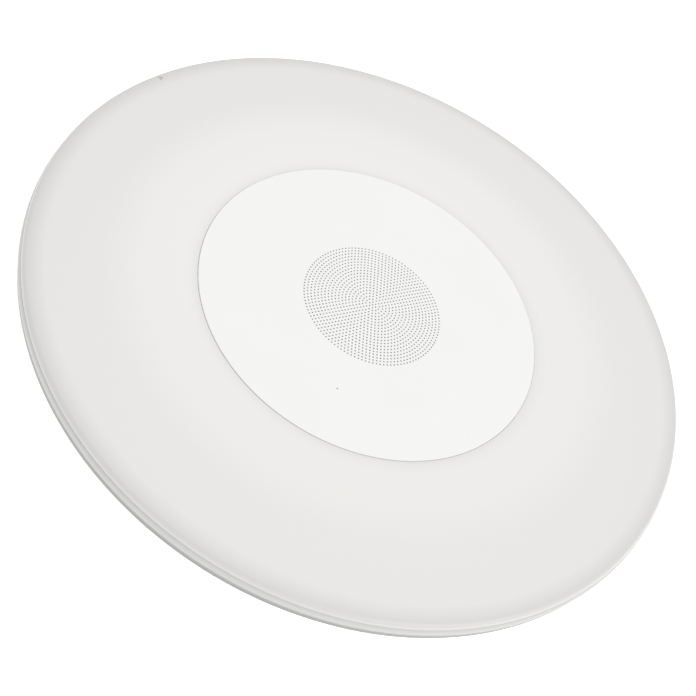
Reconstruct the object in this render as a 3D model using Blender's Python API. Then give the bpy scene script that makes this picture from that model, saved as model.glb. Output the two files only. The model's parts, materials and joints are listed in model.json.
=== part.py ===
"""Round flush ceiling light with a wireless speaker behind its centre panel, as separate parts.

The light lies on its back. Z is 0 on the ceiling plane and +Z points into the room, so the light is
seen from above. The front panel's small receiver window is on the -Y side.
"""

import math

import bmesh
import bpy
from mathutils import Matrix, Vector

MM = 0.001
GAP = 0.3 * MM

# Driving dimensions
LAMP_RADIUS = 239.75 * MM
FACE_Z = 66 * MM
PANEL_RADIUS = 124 * MM
PANEL_THICK = 2 * MM
GRILLE_RADIUS = 50 * MM
DIFFUSER_WALL = 2 * MM
CROWN = 2.2 * MM
SHOULDER = 2.2 * MM
SEAM_RADIUS = 238.4 * MM
SEAM_DROP = 2.2 * MM
BEAD_ROUND = 2.2 * MM
RIM_DROP = 12.3 * MM
SKIRT_RADIUS = 229.5 * MM
SKIRT_WALL = 2 * MM
SKIRT_Z = 42 * MM
LIP_RADIUS = 115 * MM
WINDOW_AT = (0.0, -81.2 * MM)
WINDOW_RADIUS = 1.0 * MM

PAN_Z = 3 * MM
PAN_SHEET = 1.2 * MM
PAN_FLOOR_RADIUS = 178 * MM
PAN_FLANGE_RADIUS = 223.5 * MM
PAN_FLANGE_Z = 41 * MM
RECESS_RADIUS = 70 * MM
RECESS_RISE = 7 * MM
FLOOR_TOP = PAN_Z + PAN_SHEET
RECESS_TOP = FLOOR_TOP + RECESS_RISE

BRACKET_RADIUS = 67 * MM
BRACKET_SHEET = 1.5 * MM
STUD_CIRCLE = 63.5 * MM
STUD_HEAD_RADIUS = 4 * MM
STUD_SHANK_RADIUS = 2 * MM
STUD_ANGLES = (30, 150, 270)
LOCK_TURN = 15

BOX_RADIUS = 58 * MM
BOX_WALL = 2.5 * MM
BOX_TOP = 54.7 * MM
FLANGE_Z = BOX_TOP + GAP
FLANGE_RADIUS = 55 * MM
SPEAKER_SCREW_CIRCLE = 52 * MM
CONE_RADIUS = 37.5 * MM
COIL_RADIUS = 12.4 * MM

BOARD_SHEET = 1.6 * MM
LED_INNER = 130 * MM
LED_OUTER = 172 * MM
LED_SWEEP = 82
AUDIO_AT = (0.0, -95 * MM)
AUDIO_SIZE = (84 * MM, 38 * MM)
AUDIO_Z = 9.9 * MM
AUDIO_TOP = AUDIO_Z + BOARD_SHEET
DRIVER_AT = (0.0, 96 * MM)
DRIVER_SIZE = (90 * MM, 40 * MM, 23 * MM)
TERMINAL_AT = (-92 * MM, 0.0)
TERMINAL_TOP = 16.5 * MM
LEVER_PITCH = 10.4 * MM
LEVER_AXIS_X = 8 * MM
LEVER_AXIS_Z = 19 * MM
GROMMET_AT = (-92 * MM, -36 * MM)
GROMMET_BORE = 6 * MM

RING_SEGMENTS = 40
SPEAKER_SEGMENTS = 20
SMALL_SEGMENTS = 12


# ---------------------------------------------------------------- scene and materials


def clear_scene():
    for old in list(bpy.data.objects):
        bpy.data.objects.remove(old, do_unlink=True)


def linear(level):
    return level / 12.92 if level <= 0.04045 else ((level + 0.055) / 1.055) ** 2.4


def look(name, hex_colour, roughness, metallic=0.0):
    """A Principled material, made once for each name."""
    found = bpy.data.materials.get(name)
    if found:
        return found
    made = bpy.data.materials.new(name)
    made.use_nodes = True
    shader = made.node_tree.nodes["Principled BSDF"]
    levels = [linear(int(hex_colour[i : i + 2], 16) / 255) for i in (0, 2, 4)]
    shader.inputs["Base Color"].default_value = (*levels, 1.0)
    shader.inputs["Roughness"].default_value = roughness
    shader.inputs["Metallic"].default_value = metallic
    made.diffuse_color = (*levels, 1.0)
    return made


def opal():
    return look("opal_acrylic", "F1F1EE", 0.3)


def white_plastic():
    return look("white_abs", "F4F4F1", 0.55)


def white_steel():
    return look("white_painted_steel", "E9E9E6", 0.45)


def zinc():
    return look("zinc_plated_steel", "B9BCC0", 0.3, 1.0)


def black_plastic():
    return look("black_plastic", "1C1C1E", 0.5)


def board_white():
    return look("white_solder_mask", "EDEFEA", 0.4)


def board_green():
    return look("green_solder_mask", "1F5A3A", 0.4)


# ---------------------------------------------------------------- shape helpers


def finish(mesh_data, name, material, at=(0, 0, 0), turn=0.0, angle=30):
    """Turns a bmesh into a named object, placed and shaded smooth up to the given angle."""
    mesh = bpy.data.meshes.new(name)
    bmesh.ops.recalc_face_normals(mesh_data, faces=mesh_data.faces[:])
    mesh_data.to_mesh(mesh)
    mesh_data.free()
    mesh.shade_smooth()
    mesh.set_sharp_from_angle(angle=math.radians(angle))
    made = bpy.data.objects.new(name, mesh)
    if material:
        mesh.materials.append(material)
    bpy.context.scene.collection.objects.link(made)
    made.location = at
    made.rotation_euler = (0, 0, math.radians(turn))
    return made


def turned(name, outline, segments, material, at=(0, 0, 0)):
    """Revolves (radius, height) points about Z. Two ends that are both on the axis aren't joined."""
    data = bmesh.new()
    points = [data.verts.new((radius, 0, height)) for radius, height in outline]
    edges = [data.edges.new(pair) for pair in zip(points, points[1:])]
    if outline[0][0] > 0 or outline[-1][0] > 0:
        edges.append(data.edges.new((points[-1], points[0])))
    bmesh.ops.spin(
        data,
        geom=points + edges,
        cent=(0, 0, 0),
        axis=(0, 0, 1),
        angle=math.tau,
        steps=segments,
        use_merge=True,
    )
    bmesh.ops.remove_doubles(data, verts=data.verts[:], dist=1e-6)
    return finish(data, name, material, at)


def prism(name, outline, height, material, at=(0, 0, 0), turn=0.0):
    """Extrudes a flat (x, y) outline upwards."""
    data = bmesh.new()
    swept(data, [(x, y, 0) for x, y in outline], (0, 0, height))
    return finish(data, name, material, at, turn)


def block(name, size, material, at=(0, 0, 0), edge=0.0, turn=0.0):
    """A box that stands on its location, with its edges bevelled where a width is given."""
    data = bmesh.new()
    bmesh.ops.create_cube(data, size=1)
    bmesh.ops.scale(data, vec=size, verts=data.verts[:])
    bmesh.ops.translate(data, vec=(0, 0, size[2] / 2), verts=data.verts[:])
    if edge:
        bmesh.ops.bevel(
            data, geom=data.edges[:], offset=edge, segments=1, profile=0.5, affect="EDGES", material=-1
        )
    return finish(data, name, material, at, turn)


def cylinder(name, radius, height, material, at=(0, 0, 0), segments=SMALL_SEGMENTS):
    return turned(name, [(0, 0), (radius, 0), (radius, height), (0, height)], segments, material, at)


def ring(name, inner, outer, height, material, at=(0, 0, 0), segments=RING_SEGMENTS):
    outline = [(inner, 0), (outer, 0), (outer, height), (inner, height)]
    return turned(name, outline, segments, material, at)


def combine(target, helper, operation):
    """Cuts the helper from the target, or joins it on. The helper is drawn as wire and isn't a part."""
    helper.hide_render = True
    helper.display_type = "WIRE"
    modifier = target.modifiers.new(operation.title(), "BOOLEAN")
    modifier.operation = operation
    modifier.solver = "EXACT"
    modifier.object = helper


def cut(target, helper):
    combine(target, helper, "DIFFERENCE")


def join(target, helper):
    combine(target, helper, "UNION")


def drill(target, radius, low, high, at, segments=SMALL_SEGMENTS):
    """Cuts an upright round hole through the target from one height to another."""
    spot = (at[0], at[1], low)
    cut(target, cylinder(target.name + "_drill", radius, high - low, None, spot, segments))


def swept(data, outline, vec):
    """Fills a closed outline of 3-D points and extrudes it along a vector."""
    face = data.faces.new([data.verts.new(point) for point in outline])
    grown = bmesh.ops.extrude_face_region(data, geom=[face])["geom"]
    moved = [item for item in grown if isinstance(item, bmesh.types.BMVert)]
    bmesh.ops.translate(data, verts=moved, vec=vec)


def on_circle(radius, degrees):
    return radius * math.cos(math.radians(degrees)), radius * math.sin(math.radians(degrees))


def carrier(name, at, parts):
    """An empty on a joint's axis that carries the parts of one moving group."""
    empty = bpy.data.objects.new(name, None)
    empty.location = at
    bpy.context.scene.collection.objects.link(empty)
    for part in parts:
        part.parent = empty
        part.location = part.location - Vector(at)
    return empty


def through(points, steps):
    """Points along a smooth curve that passes through each of the given ones."""
    ends = [Vector(p) for p in points]
    ends = [ends[0] * 2 - ends[1], *ends, ends[-1] * 2 - ends[-2]]
    route = []
    for a, b, c, d in zip(ends, ends[1:], ends[2:], ends[3:]):
        for step in range(steps):
            t = step / steps
            bend = (2 * a - 5 * b + 4 * c - d) * t**2 + (3 * b - a - 3 * c + d) * t**3
            route.append((2 * b + (c - a) * t + bend) / 2)
    return [*route, ends[-2]]


def lead(name, radius, points, material, steps=3):
    """An insulated wire along a smooth route, as a curve with filled ends."""
    curve = bpy.data.curves.new(name, "CURVE")
    curve.dimensions = "3D"
    curve.bevel_depth = radius
    curve.bevel_resolution = 1
    curve.use_fill_caps = True
    route = through(points, steps)
    spline = curve.splines.new("POLY")
    spline.points.add(len(route) - 1)
    for point, place in zip(spline.points, route):
        point.co = (*place, 1)
    curve.materials.append(material)
    made = bpy.data.objects.new(name, curve)
    bpy.context.scene.collection.objects.link(made)
    return made


def screw(name, at, head_radius, head_height, shank_radius, shank_length, down=True):
    """A pan-head screw whose head sits on the given point, with its shank below it or above it."""
    sign = -1 if down else 1
    outline = [
        (0, sign * shank_length),
        (shank_radius, sign * shank_length),
        (shank_radius, 0),
        (head_radius, 0),
        (head_radius * 0.85, -sign * head_height),
        (0, -sign * head_height),
    ]
    return turned(name, outline, SMALL_SEGMENTS, zinc(), at)


# ---------------------------------------------------------------- ceiling side


def make_bracket():
    """The plate that is screwed to the ceiling, with three shoulder studs that the pan turns onto."""
    plate = ring("mounting_plate", 20 * MM, BRACKET_RADIUS, BRACKET_SHEET, zinc())
    slot_half, slot_end = 6 * MM, 2.5 * MM
    slot = []
    for centre, start in ((slot_half, -90), (-slot_half, 90)):
        for turn in range(start, start + 181, 45):
            x, y = on_circle(slot_end, turn)
            slot.append((centre + x, y))
    for number, side in enumerate((0, 90, 180, 270)):
        spot = (*on_circle(42 * MM, side), -1 * MM)
        cut(plate, prism(f"plate_slot_{number}", slot, 4 * MM, None, spot, side + 90))
    studs = []
    shoulder = RECESS_TOP - PAN_SHEET - GAP
    outline = [
        (0, BRACKET_SHEET + GAP),
        (3.4 * MM, BRACKET_SHEET + GAP),
        (3.4 * MM, shoulder),
        (STUD_SHANK_RADIUS, shoulder),
        (STUD_SHANK_RADIUS, RECESS_TOP + GAP),
        (STUD_HEAD_RADIUS, RECESS_TOP + GAP),
        (STUD_HEAD_RADIUS, RECESS_TOP + 1.6 * MM),
        (STUD_HEAD_RADIUS * 0.7, RECESS_TOP + 2.3 * MM),
        (0, RECESS_TOP + 2.3 * MM),
    ]
    for number, side in enumerate(STUD_ANGLES, 1):
        spot = (*on_circle(STUD_CIRCLE, side), 0)
        studs.append(turned(f"bracket_stud_{number}", outline, SMALL_SEGMENTS, zinc(), spot))
    carrier("bracket_turn", (0, 0, 0), [plate, *studs])


def make_pan():
    """The pressed steel pan. Its raised middle clears the bracket, and its flange carries the clips."""
    outline = [
        (0, RECESS_TOP - PAN_SHEET),
        (RECESS_RADIUS, RECESS_TOP - PAN_SHEET),
        (RECESS_RADIUS + 4 * MM, PAN_Z),
        (PAN_FLOOR_RADIUS, PAN_Z),
        (208 * MM, PAN_FLANGE_Z),
        (PAN_FLANGE_RADIUS, PAN_FLANGE_Z),
        (PAN_FLANGE_RADIUS, PAN_FLANGE_Z + PAN_SHEET),
        (207 * MM, PAN_FLANGE_Z + PAN_SHEET),
        (PAN_FLOOR_RADIUS - 1 * MM, FLOOR_TOP),
        (RECESS_RADIUS + 5 * MM, FLOOR_TOP),
        (RECESS_RADIUS + 1 * MM, RECESS_TOP),
        (0, RECESS_TOP),
    ]
    pan = turned("base_pan", outline, RING_SEGMENTS, white_steel())
    low, high = RECESS_TOP - 3 * MM, RECESS_TOP + 2 * MM
    slot_width = 2 * STUD_SHANK_RADIUS + 1.2 * MM
    for side in STUD_ANGLES:
        drill(pan, slot_width / 2, low, high, on_circle(STUD_CIRCLE, side))
        drill(pan, STUD_HEAD_RADIUS + 1 * MM, low, high, on_circle(STUD_CIRCLE, side + LOCK_TURN))
        steps = [side + LOCK_TURN * step / 3 for step in range(4)]
        arc = [on_circle(STUD_CIRCLE - slot_width / 2, turn) for turn in steps]
        arc += [on_circle(STUD_CIRCLE + slot_width / 2, turn) for turn in reversed(steps)]
        cut(pan, prism("keyhole", arc, high - low, None, (0, 0, low)))
    drill(pan, 9 * MM, PAN_Z - 1 * MM, FLOOR_TOP + 1 * MM, GROMMET_AT, 16)
    ring("ceiling_seal", 160 * MM, 174 * MM, PAN_Z - GAP, look("grey_foam", "8E8F90", 0.95))


def make_grommet():
    """Rubber ring in the pan's cable hole, grooved where the steel passes into it."""
    neck, lip, groove = 8.6 * MM, 11.4 * MM, GAP
    outline = [
        (GROMMET_BORE, PAN_Z - 1.6 * MM),
        (lip, PAN_Z - 1.6 * MM),
        (lip, PAN_Z - groove),
        (neck, PAN_Z - groove),
        (neck, FLOOR_TOP + groove),
        (lip, FLOOR_TOP + groove),
        (lip, FLOOR_TOP + 1.6 * MM),
        (GROMMET_BORE, FLOOR_TOP + 1.6 * MM),
    ]
    turned("cable_grommet", outline, 16, look("black_rubber", "1A1A1A", 0.8), (*GROMMET_AT, 0))


def make_clips():
    """Four spring steel leaves that hold the cover. Each nose stands just inside the cover's skirt."""
    thick, width = 0.6 * MM, 14 * MM
    path = [(211, 42.8), (225.2, 42.8), (228.0, 48.5), (225.4, 54)]
    lower = [(x * MM, z * MM) for x, z in path]
    upper = [(lower[0][0], lower[0][1] + thick), (lower[1][0] - thick / 2, lower[1][1] + thick)]
    upper += [(lower[2][0] - thick, lower[2][1]), (lower[3][0] - thick, lower[3][1])]
    for number, side in enumerate((0, 90, 180, 270), 1):
        data = bmesh.new()
        swept(data, [(x, -width / 2, z) for x, z in (*lower, *reversed(upper))], (0, width, 0))
        finish(data, f"cover_clip_{number}", look("spring_steel", "C4C6C8", 0.25, 1.0), turn=side)


# ---------------------------------------------------------------- electrics


def make_light_boards():
    """Four aluminium-backed boards that carry the light emitters, a quarter of the ring each."""
    for number, middle in enumerate((45, 135, 225, 315), 1):
        turns = [middle - LED_SWEEP / 2 + LED_SWEEP * step / 11 for step in range(12)]
        outline = [on_circle(LED_INNER, turn) for turn in turns]
        outline += [on_circle(LED_OUTER, turn) for turn in reversed(turns)]
        prism(f"led_board_{number}", outline, BOARD_SHEET, board_white(), (0, 0, FLOOR_TOP + GAP))


def make_driver():
    """The mains driver: an open case, its lid, and the board inside."""
    length, width, height = DRIVER_SIZE
    base_z, wall = FLOOR_TOP + GAP, 1.2 * MM
    case = block("driver_case", DRIVER_SIZE, white_plastic(), (*DRIVER_AT, base_z))
    room = (length - 2 * wall, width - 2 * wall, height)
    cut(case, block("driver_room", room, None, (*DRIVER_AT, base_z + wall)))
    lid_at = (*DRIVER_AT, base_z + height + GAP)
    block("driver_lid", (length, width, wall), white_plastic(), lid_at, 0.3 * MM)
    board_at = (*DRIVER_AT, base_z + 4 * MM)
    block("driver_board", (length - 8 * MM, width - 6 * MM, BOARD_SHEET), board_green(), board_at)


def make_audio_board():
    """The wireless receiver and amplifier board on two posts, under the receiver window."""
    x, y = AUDIO_AT
    length, width = AUDIO_SIZE
    board = block("audio_board", (length, width, BOARD_SHEET), board_green(), (x, y, AUDIO_Z))
    for number, side in enumerate((-1, 1), 1):
        spot = (x + side * (length / 2 - 4 * MM), y + side * (width / 2 - 4 * MM))
        drill(board, 1.6 * MM, AUDIO_Z - 1 * MM, AUDIO_TOP + 1 * MM, spot)
        height = AUDIO_Z - GAP - FLOOR_TOP - GAP
        post_at = (*spot, FLOOR_TOP + GAP)
        post = cylinder(f"board_post_{number}", 3 * MM, height, white_plastic(), post_at, 8)
        drill(post, 1.6 * MM, FLOOR_TOP + 2 * MM, AUDIO_Z + 1 * MM, spot, 8)
        screw(f"board_screw_{number}", (*spot, AUDIO_TOP + GAP), 2.7 * MM, 1.8 * MM, 1.2 * MM, 5 * MM)
    top = AUDIO_TOP + GAP
    can = look("tin_plated_can", "C9CBCC", 0.3, 1.0)
    block("wireless_module", (19 * MM, 14 * MM, 3 * MM), can, (x - 20 * MM, y + 4 * MM, top), 0.4 * MM)
    make_heatsink((x + 20 * MM, y + 2 * MM, top))
    receiver_at = (*WINDOW_AT, top)
    receiver = block("ir_receiver", (6 * MM, 4.6 * MM, 6 * MM), black_plastic(), receiver_at, 0.5 * MM)
    eye = [(0, 0), (1.8 * MM, 0), (1.2 * MM, 2 * MM), (0, 2.4 * MM)]
    join(receiver, turned("receiver_eye", eye, 8, None, (*WINDOW_AT, top + 5 * MM)))


def make_heatsink(at):
    """Extruded heatsink of the amplifier, with five fins that stand up from its base."""
    half, base, tall, fin, pitch, long = 10 * MM, 3 * MM, 12 * MM, 1.6 * MM, 4.6 * MM, 14 * MM
    outline = [(-half, 0), (half, 0)]
    for step in range(4, -1, -1):
        left = step * pitch - half
        if step < 4:
            outline.append((left + fin, base))
        outline += [(left + fin, tall), (left, tall)]
        if step:
            outline.append((left, base))
    sink = prism("amplifier_heatsink", outline, long, look("anodised_aluminium", "9DA1A5", 0.4, 1.0))
    sink.matrix_world = Matrix.Translation(at) @ Matrix.Rotation(math.pi / 2, 4, "X")


def make_terminals():
    """Lever terminals for the house wires: a block with ribs, and a lever hinged between each two ribs."""
    x, y = TERMINAL_AT
    base_z = FLOOR_TOP + GAP
    rib_wall = 1.2 * MM
    body_size = (22 * MM, 3 * LEVER_PITCH + rib_wall, TERMINAL_TOP - base_z)
    body = block("terminal_block", body_size, look("grey_polyamide", "D8D9D6", 0.5), (x, y, base_z))
    for side in range(4):
        rib_at = (x + LEVER_AXIS_X - 1 * MM, y + (side - 1.5) * LEVER_PITCH, TERMINAL_TOP - 1 * MM)
        join(body, block(f"terminal_rib_{side}", (7 * MM, rib_wall, 6 * MM), None, rib_at))
    hub, thick, reach = 1.9 * MM, 1.0 * MM, -18 * MM
    outline = [on_circle(hub, turn) for turn in range(-150, 151, 60)]
    outline += [(reach * 0.6, thick), (reach, thick * 1.6), (reach, 0), (reach * 0.6, -thick * 0.8)]
    width = LEVER_PITCH - rib_wall - 2 * GAP
    for number in (1, 2, 3):
        lever = prism(f"terminal_lever_{number}", outline, width, look("orange_lever", "E07A1F", 0.45))
        upright = Matrix.Rotation(math.pi / 2, 4, "X")
        lever.data.transform(Matrix.Translation((0, width / 2, 0)) @ upright)
        lever.location = (x + LEVER_AXIS_X, y + (number - 2) * LEVER_PITCH, LEVER_AXIS_Z)


def make_leads():
    """The wires between the boards, each held along its own route on the pan's floor."""
    white = look("white_wire", "E8E6DF", 0.45)
    brown = look("brown_wire", "6B3A20", 0.45)
    blue = look("blue_wire", "2B5FA8", 0.45)
    red = look("red_wire", "B3261E", 0.45)
    live = [(-80, 10, 10.5), (-77, 14, 9), (-78, 26, 7), (-80, 45, 6.5)]
    live += [(-76, 66, 6.5), (-64, 84, 8), (-45.8, 92, 10.5)]
    neutral = [(-80, 0, 10.5), (-75.5, 5, 9), (-74.5, 20, 7), (-75, 40, 6.5)]
    neutral += [(-70, 60, 6.5), (-60, 76, 8), (-45.8, 84, 10.5)]
    light = [(45.8, 98, 10), (54, 99, 8), (66, 100, 6.6), (76, 100, 7.4)]
    light += [(84, 99, 9), (92, 98, 8.2), (98, 98, 7.8)]
    power = [(46.2, 88, 10), (54, 84, 7), (66, 62, 6.4), (80, 30, 6.4), (82, -10, 6.4)]
    power += [(74, -48, 6.4), (58, -74, 9), (46, -86, 13.4), (37, -90, 13.4)]
    speaker = [(28, -84, 13.4), (30, -78, 15.5), (38, -69, 21), (47, -57, 31)]
    speaker += [(44, -46, 37), (38, -38, 38), (32, -32, 38)]
    routes = {
        "live_lead": (live, brown),
        "neutral_lead": (neutral, blue),
        "led_lead": (light, white),
        "audio_power_lead": (power, red),
        "speaker_lead": (speaker, white),
    }
    for name, (route, colour) in routes.items():
        lead(name, 1.2 * MM, [(x * MM, y * MM, z * MM) for x, y, z in route], colour)


# ---------------------------------------------------------------- loudspeaker


def make_speaker_box():
    """Cup that loads the loudspeaker from behind, with a ledge for its flange and a hole for its wires."""
    base = RECESS_TOP + GAP
    inner, ledge = BOX_RADIUS - BOX_WALL, 44.5 * MM
    outline = [
        (0, base),
        (BOX_RADIUS, base),
        (BOX_RADIUS, BOX_TOP),
        (ledge, BOX_TOP),
        (ledge, BOX_TOP - BOX_WALL),
        (inner, BOX_TOP - BOX_WALL),
        (inner, base + BOX_WALL),
        (0, base + BOX_WALL),
    ]
    box = turned("speaker_box", outline, 32, look("black_abs", "232325", 0.6))
    for side in (45, 135, 225, 315):
        drill(box, 1.6 * MM, BOX_TOP - 6 * MM, BOX_TOP + 1 * MM, on_circle(SPEAKER_SCREW_CIRCLE, side), 8)
    wire_hole = cylinder("wire_hole", 2.6 * MM, 30 * MM, None, segments=8)
    outward = Vector((1, -1, 0)).to_track_quat("Z", "Y").to_matrix().to_4x4()
    wire_hole.matrix_world = Matrix.Translation((28 * MM, -28 * MM, 38 * MM)) @ outward
    cut(box, wire_hole)


def make_driver_unit():
    """The loudspeaker's fixed parts: basket, magnet, top plate and yoke."""
    top = FLANGE_Z + 2 * MM
    outline = [
        (43.0 * MM, top),
        (41.0 * MM, 53.6 * MM),
        (26.5 * MM, 34.2 * MM),
        (15.5 * MM, 34.2 * MM),
        (15.5 * MM, 32.6 * MM),
        (27.4 * MM, 32.6 * MM),
        (42.3 * MM, 53.2 * MM),
        (43.4 * MM, FLANGE_Z),
        (FLANGE_RADIUS, FLANGE_Z),
        (FLANGE_RADIUS, top),
    ]
    basket = turned("speaker_basket", outline, SPEAKER_SEGMENTS, look("grey_painted_steel", "3A3B3D", 0.5))
    window = (26 * MM, 15 * MM, 12 * MM)
    for side in range(15, 361, 60):
        spot = (*on_circle(34 * MM, side), 38 * MM)
        cut(basket, block("basket_window", window, None, spot, turn=side))
    for side in (45, 135, 225, 315):
        spot = on_circle(SPEAKER_SCREW_CIRCLE, side)
        drill(basket, 1.6 * MM, FLANGE_Z - 1 * MM, top + 1 * MM, spot, 8)
    steel = zinc()
    ring("speaker_top_plate", 13.6 * MM, 28 * MM, 4.3 * MM, steel, (0, 0, 28 * MM), SPEAKER_SEGMENTS)
    ferrite = look("ferrite", "2A2A2C", 0.6)
    ring("speaker_magnet", 17 * MM, 31 * MM, 7.7 * MM, ferrite, (0, 0, 20 * MM), SPEAKER_SEGMENTS)
    yoke = [(0, 15.4), (28, 15.4), (28, 19.7), (11.4, 19.7), (11.4, 32.3), (0, 32.3)]
    turned("speaker_yoke", [(r * MM, z * MM) for r, z in yoke], SPEAKER_SEGMENTS, steel)
    for number, side in enumerate((45, 135, 225, 315), 1):
        spot = (*on_circle(SPEAKER_SCREW_CIRCLE, side), top + GAP)
        screw(f"speaker_screw_{number}", spot, 2.4 * MM, 1.6 * MM, 1.2 * MM, 5.4 * MM)
    foam = look("black_foam", "202020", 0.95)
    ring("speaker_gasket", 45.9 * MM, 49.0 * MM, 5.6 * MM, foam, (0, 0, top + GAP), SPEAKER_SEGMENTS)


def make_moving_parts():
    """The loudspeaker's moving parts, and the two flexible rings that hold them."""
    top = FLANGE_Z + 2 * MM
    paper = look("black_paper_cone", "1E1E20", 0.85)
    neck, neck_z, thick = 13 * MM, 42 * MM, 0.9 * MM
    edge_z = top - 0.4 * MM
    cone_outline = [(neck, neck_z - thick), (CONE_RADIUS, edge_z - thick)]
    cone_outline += [(CONE_RADIUS, edge_z), (neck, neck_z)]
    cone = turned("speaker_cone", cone_outline, SPEAKER_SEGMENTS, paper)
    cap_radius, cap_rise, cap_skin = 16.2 * MM, 5 * MM, 0.9 * MM
    rise = [math.radians(turn) for turn in (0, 30, 60)]
    inner = [((cap_radius - cap_skin) * math.cos(a), (cap_rise - cap_skin) * math.sin(a)) for a in rise]
    outer = [(cap_radius * math.cos(a), cap_rise * math.sin(a)) for a in rise]
    shell = [(0, cap_rise - cap_skin), *reversed(inner), *outer, (0, cap_rise)]
    cap_seat = neck_z + (cap_radius - neck) * (edge_z - neck_z) / (CONE_RADIUS - neck) + 0.6 * MM
    cap = turned("dust_cap", shell, SPEAKER_SEGMENTS, paper, (0, 0, cap_seat))
    copper = look("copper_winding", "B5651D", 0.35, 1.0)
    coil_in, coil_out, coil_at = COIL_RADIUS - 0.4 * MM, COIL_RADIUS + 0.3 * MM, (0, 0, 26 * MM)
    coil = ring("voice_coil", coil_in, coil_out, 17 * MM, copper, coil_at, SPEAKER_SEGMENTS)
    carrier("cone_travel", (0, 0, neck_z), [cone, cap, coil])

    rubber = look("black_rubber", "1A1A1A", 0.8)
    arc = [math.radians(a) for a in range(180, -1, -36)]
    middle, roll, skin, lie = 40.2 * MM, 2.7 * MM, 0.6 * MM, top + GAP
    inner_edge, outer_edge, inner_roll = 35.6 * MM, 45.3 * MM, roll - skin
    surround = [(inner_edge, lie), (middle - roll, lie)]
    surround += [(middle + inner_roll * math.cos(a), lie + inner_roll * math.sin(a)) for a in arc]
    surround += [(middle + roll, lie), (outer_edge, lie), (outer_edge, lie + skin)]
    surround += [(middle + roll * math.cos(a), lie + skin + roll * math.sin(a)) for a in reversed(arc)]
    surround += [(inner_edge, lie + skin)]
    turned("speaker_surround", surround, SPEAKER_SEGMENTS, rubber)

    wave = [(13.1, 37.2), (14.8, 37.2), (16.2, 38.0), (17.8, 36.4)]
    wave += [(19.4, 38.0), (21.0, 35.4), (22.4, 34.5), (25.2, 34.5)]
    lower = [(r * MM, z * MM) for r, z in wave]
    spider = [*lower, *((r, z + 0.5 * MM) for r, z in reversed(lower))]
    turned("speaker_spider", spider, SPEAKER_SEGMENTS, look("phenolic_cloth", "C08A3E", 0.9))


# ---------------------------------------------------------------- cover


def diffuser_outside():
    """(radius, height) of the diffuser's room side, from under the panel's edge to the seam."""
    start, full, low = PANEL_RADIUS + 1.2 * MM, 172 * MM, -0.6 * MM
    step_r = SEAM_RADIUS - SHOULDER
    points = [(LIP_RADIUS, -PANEL_THICK - GAP), (PANEL_RADIUS + 0.4 * MM, -PANEL_THICK - GAP)]
    for share in (0, 0.25, 0.5, 0.75, 1):
        rise = (CROWN - low) * math.sin(math.pi / 2 * share)
        points.append((start + (full - start) * share, low + rise))
    for turn in (math.radians(90 - 30 * step) for step in range(4)):
        points.append((step_r + SHOULDER * math.cos(turn), CROWN - SHOULDER * (1 - math.sin(turn))))
    points.append((SEAM_RADIUS, -SEAM_DROP))
    return [(radius, FACE_Z + height) for radius, height in points]


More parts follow.
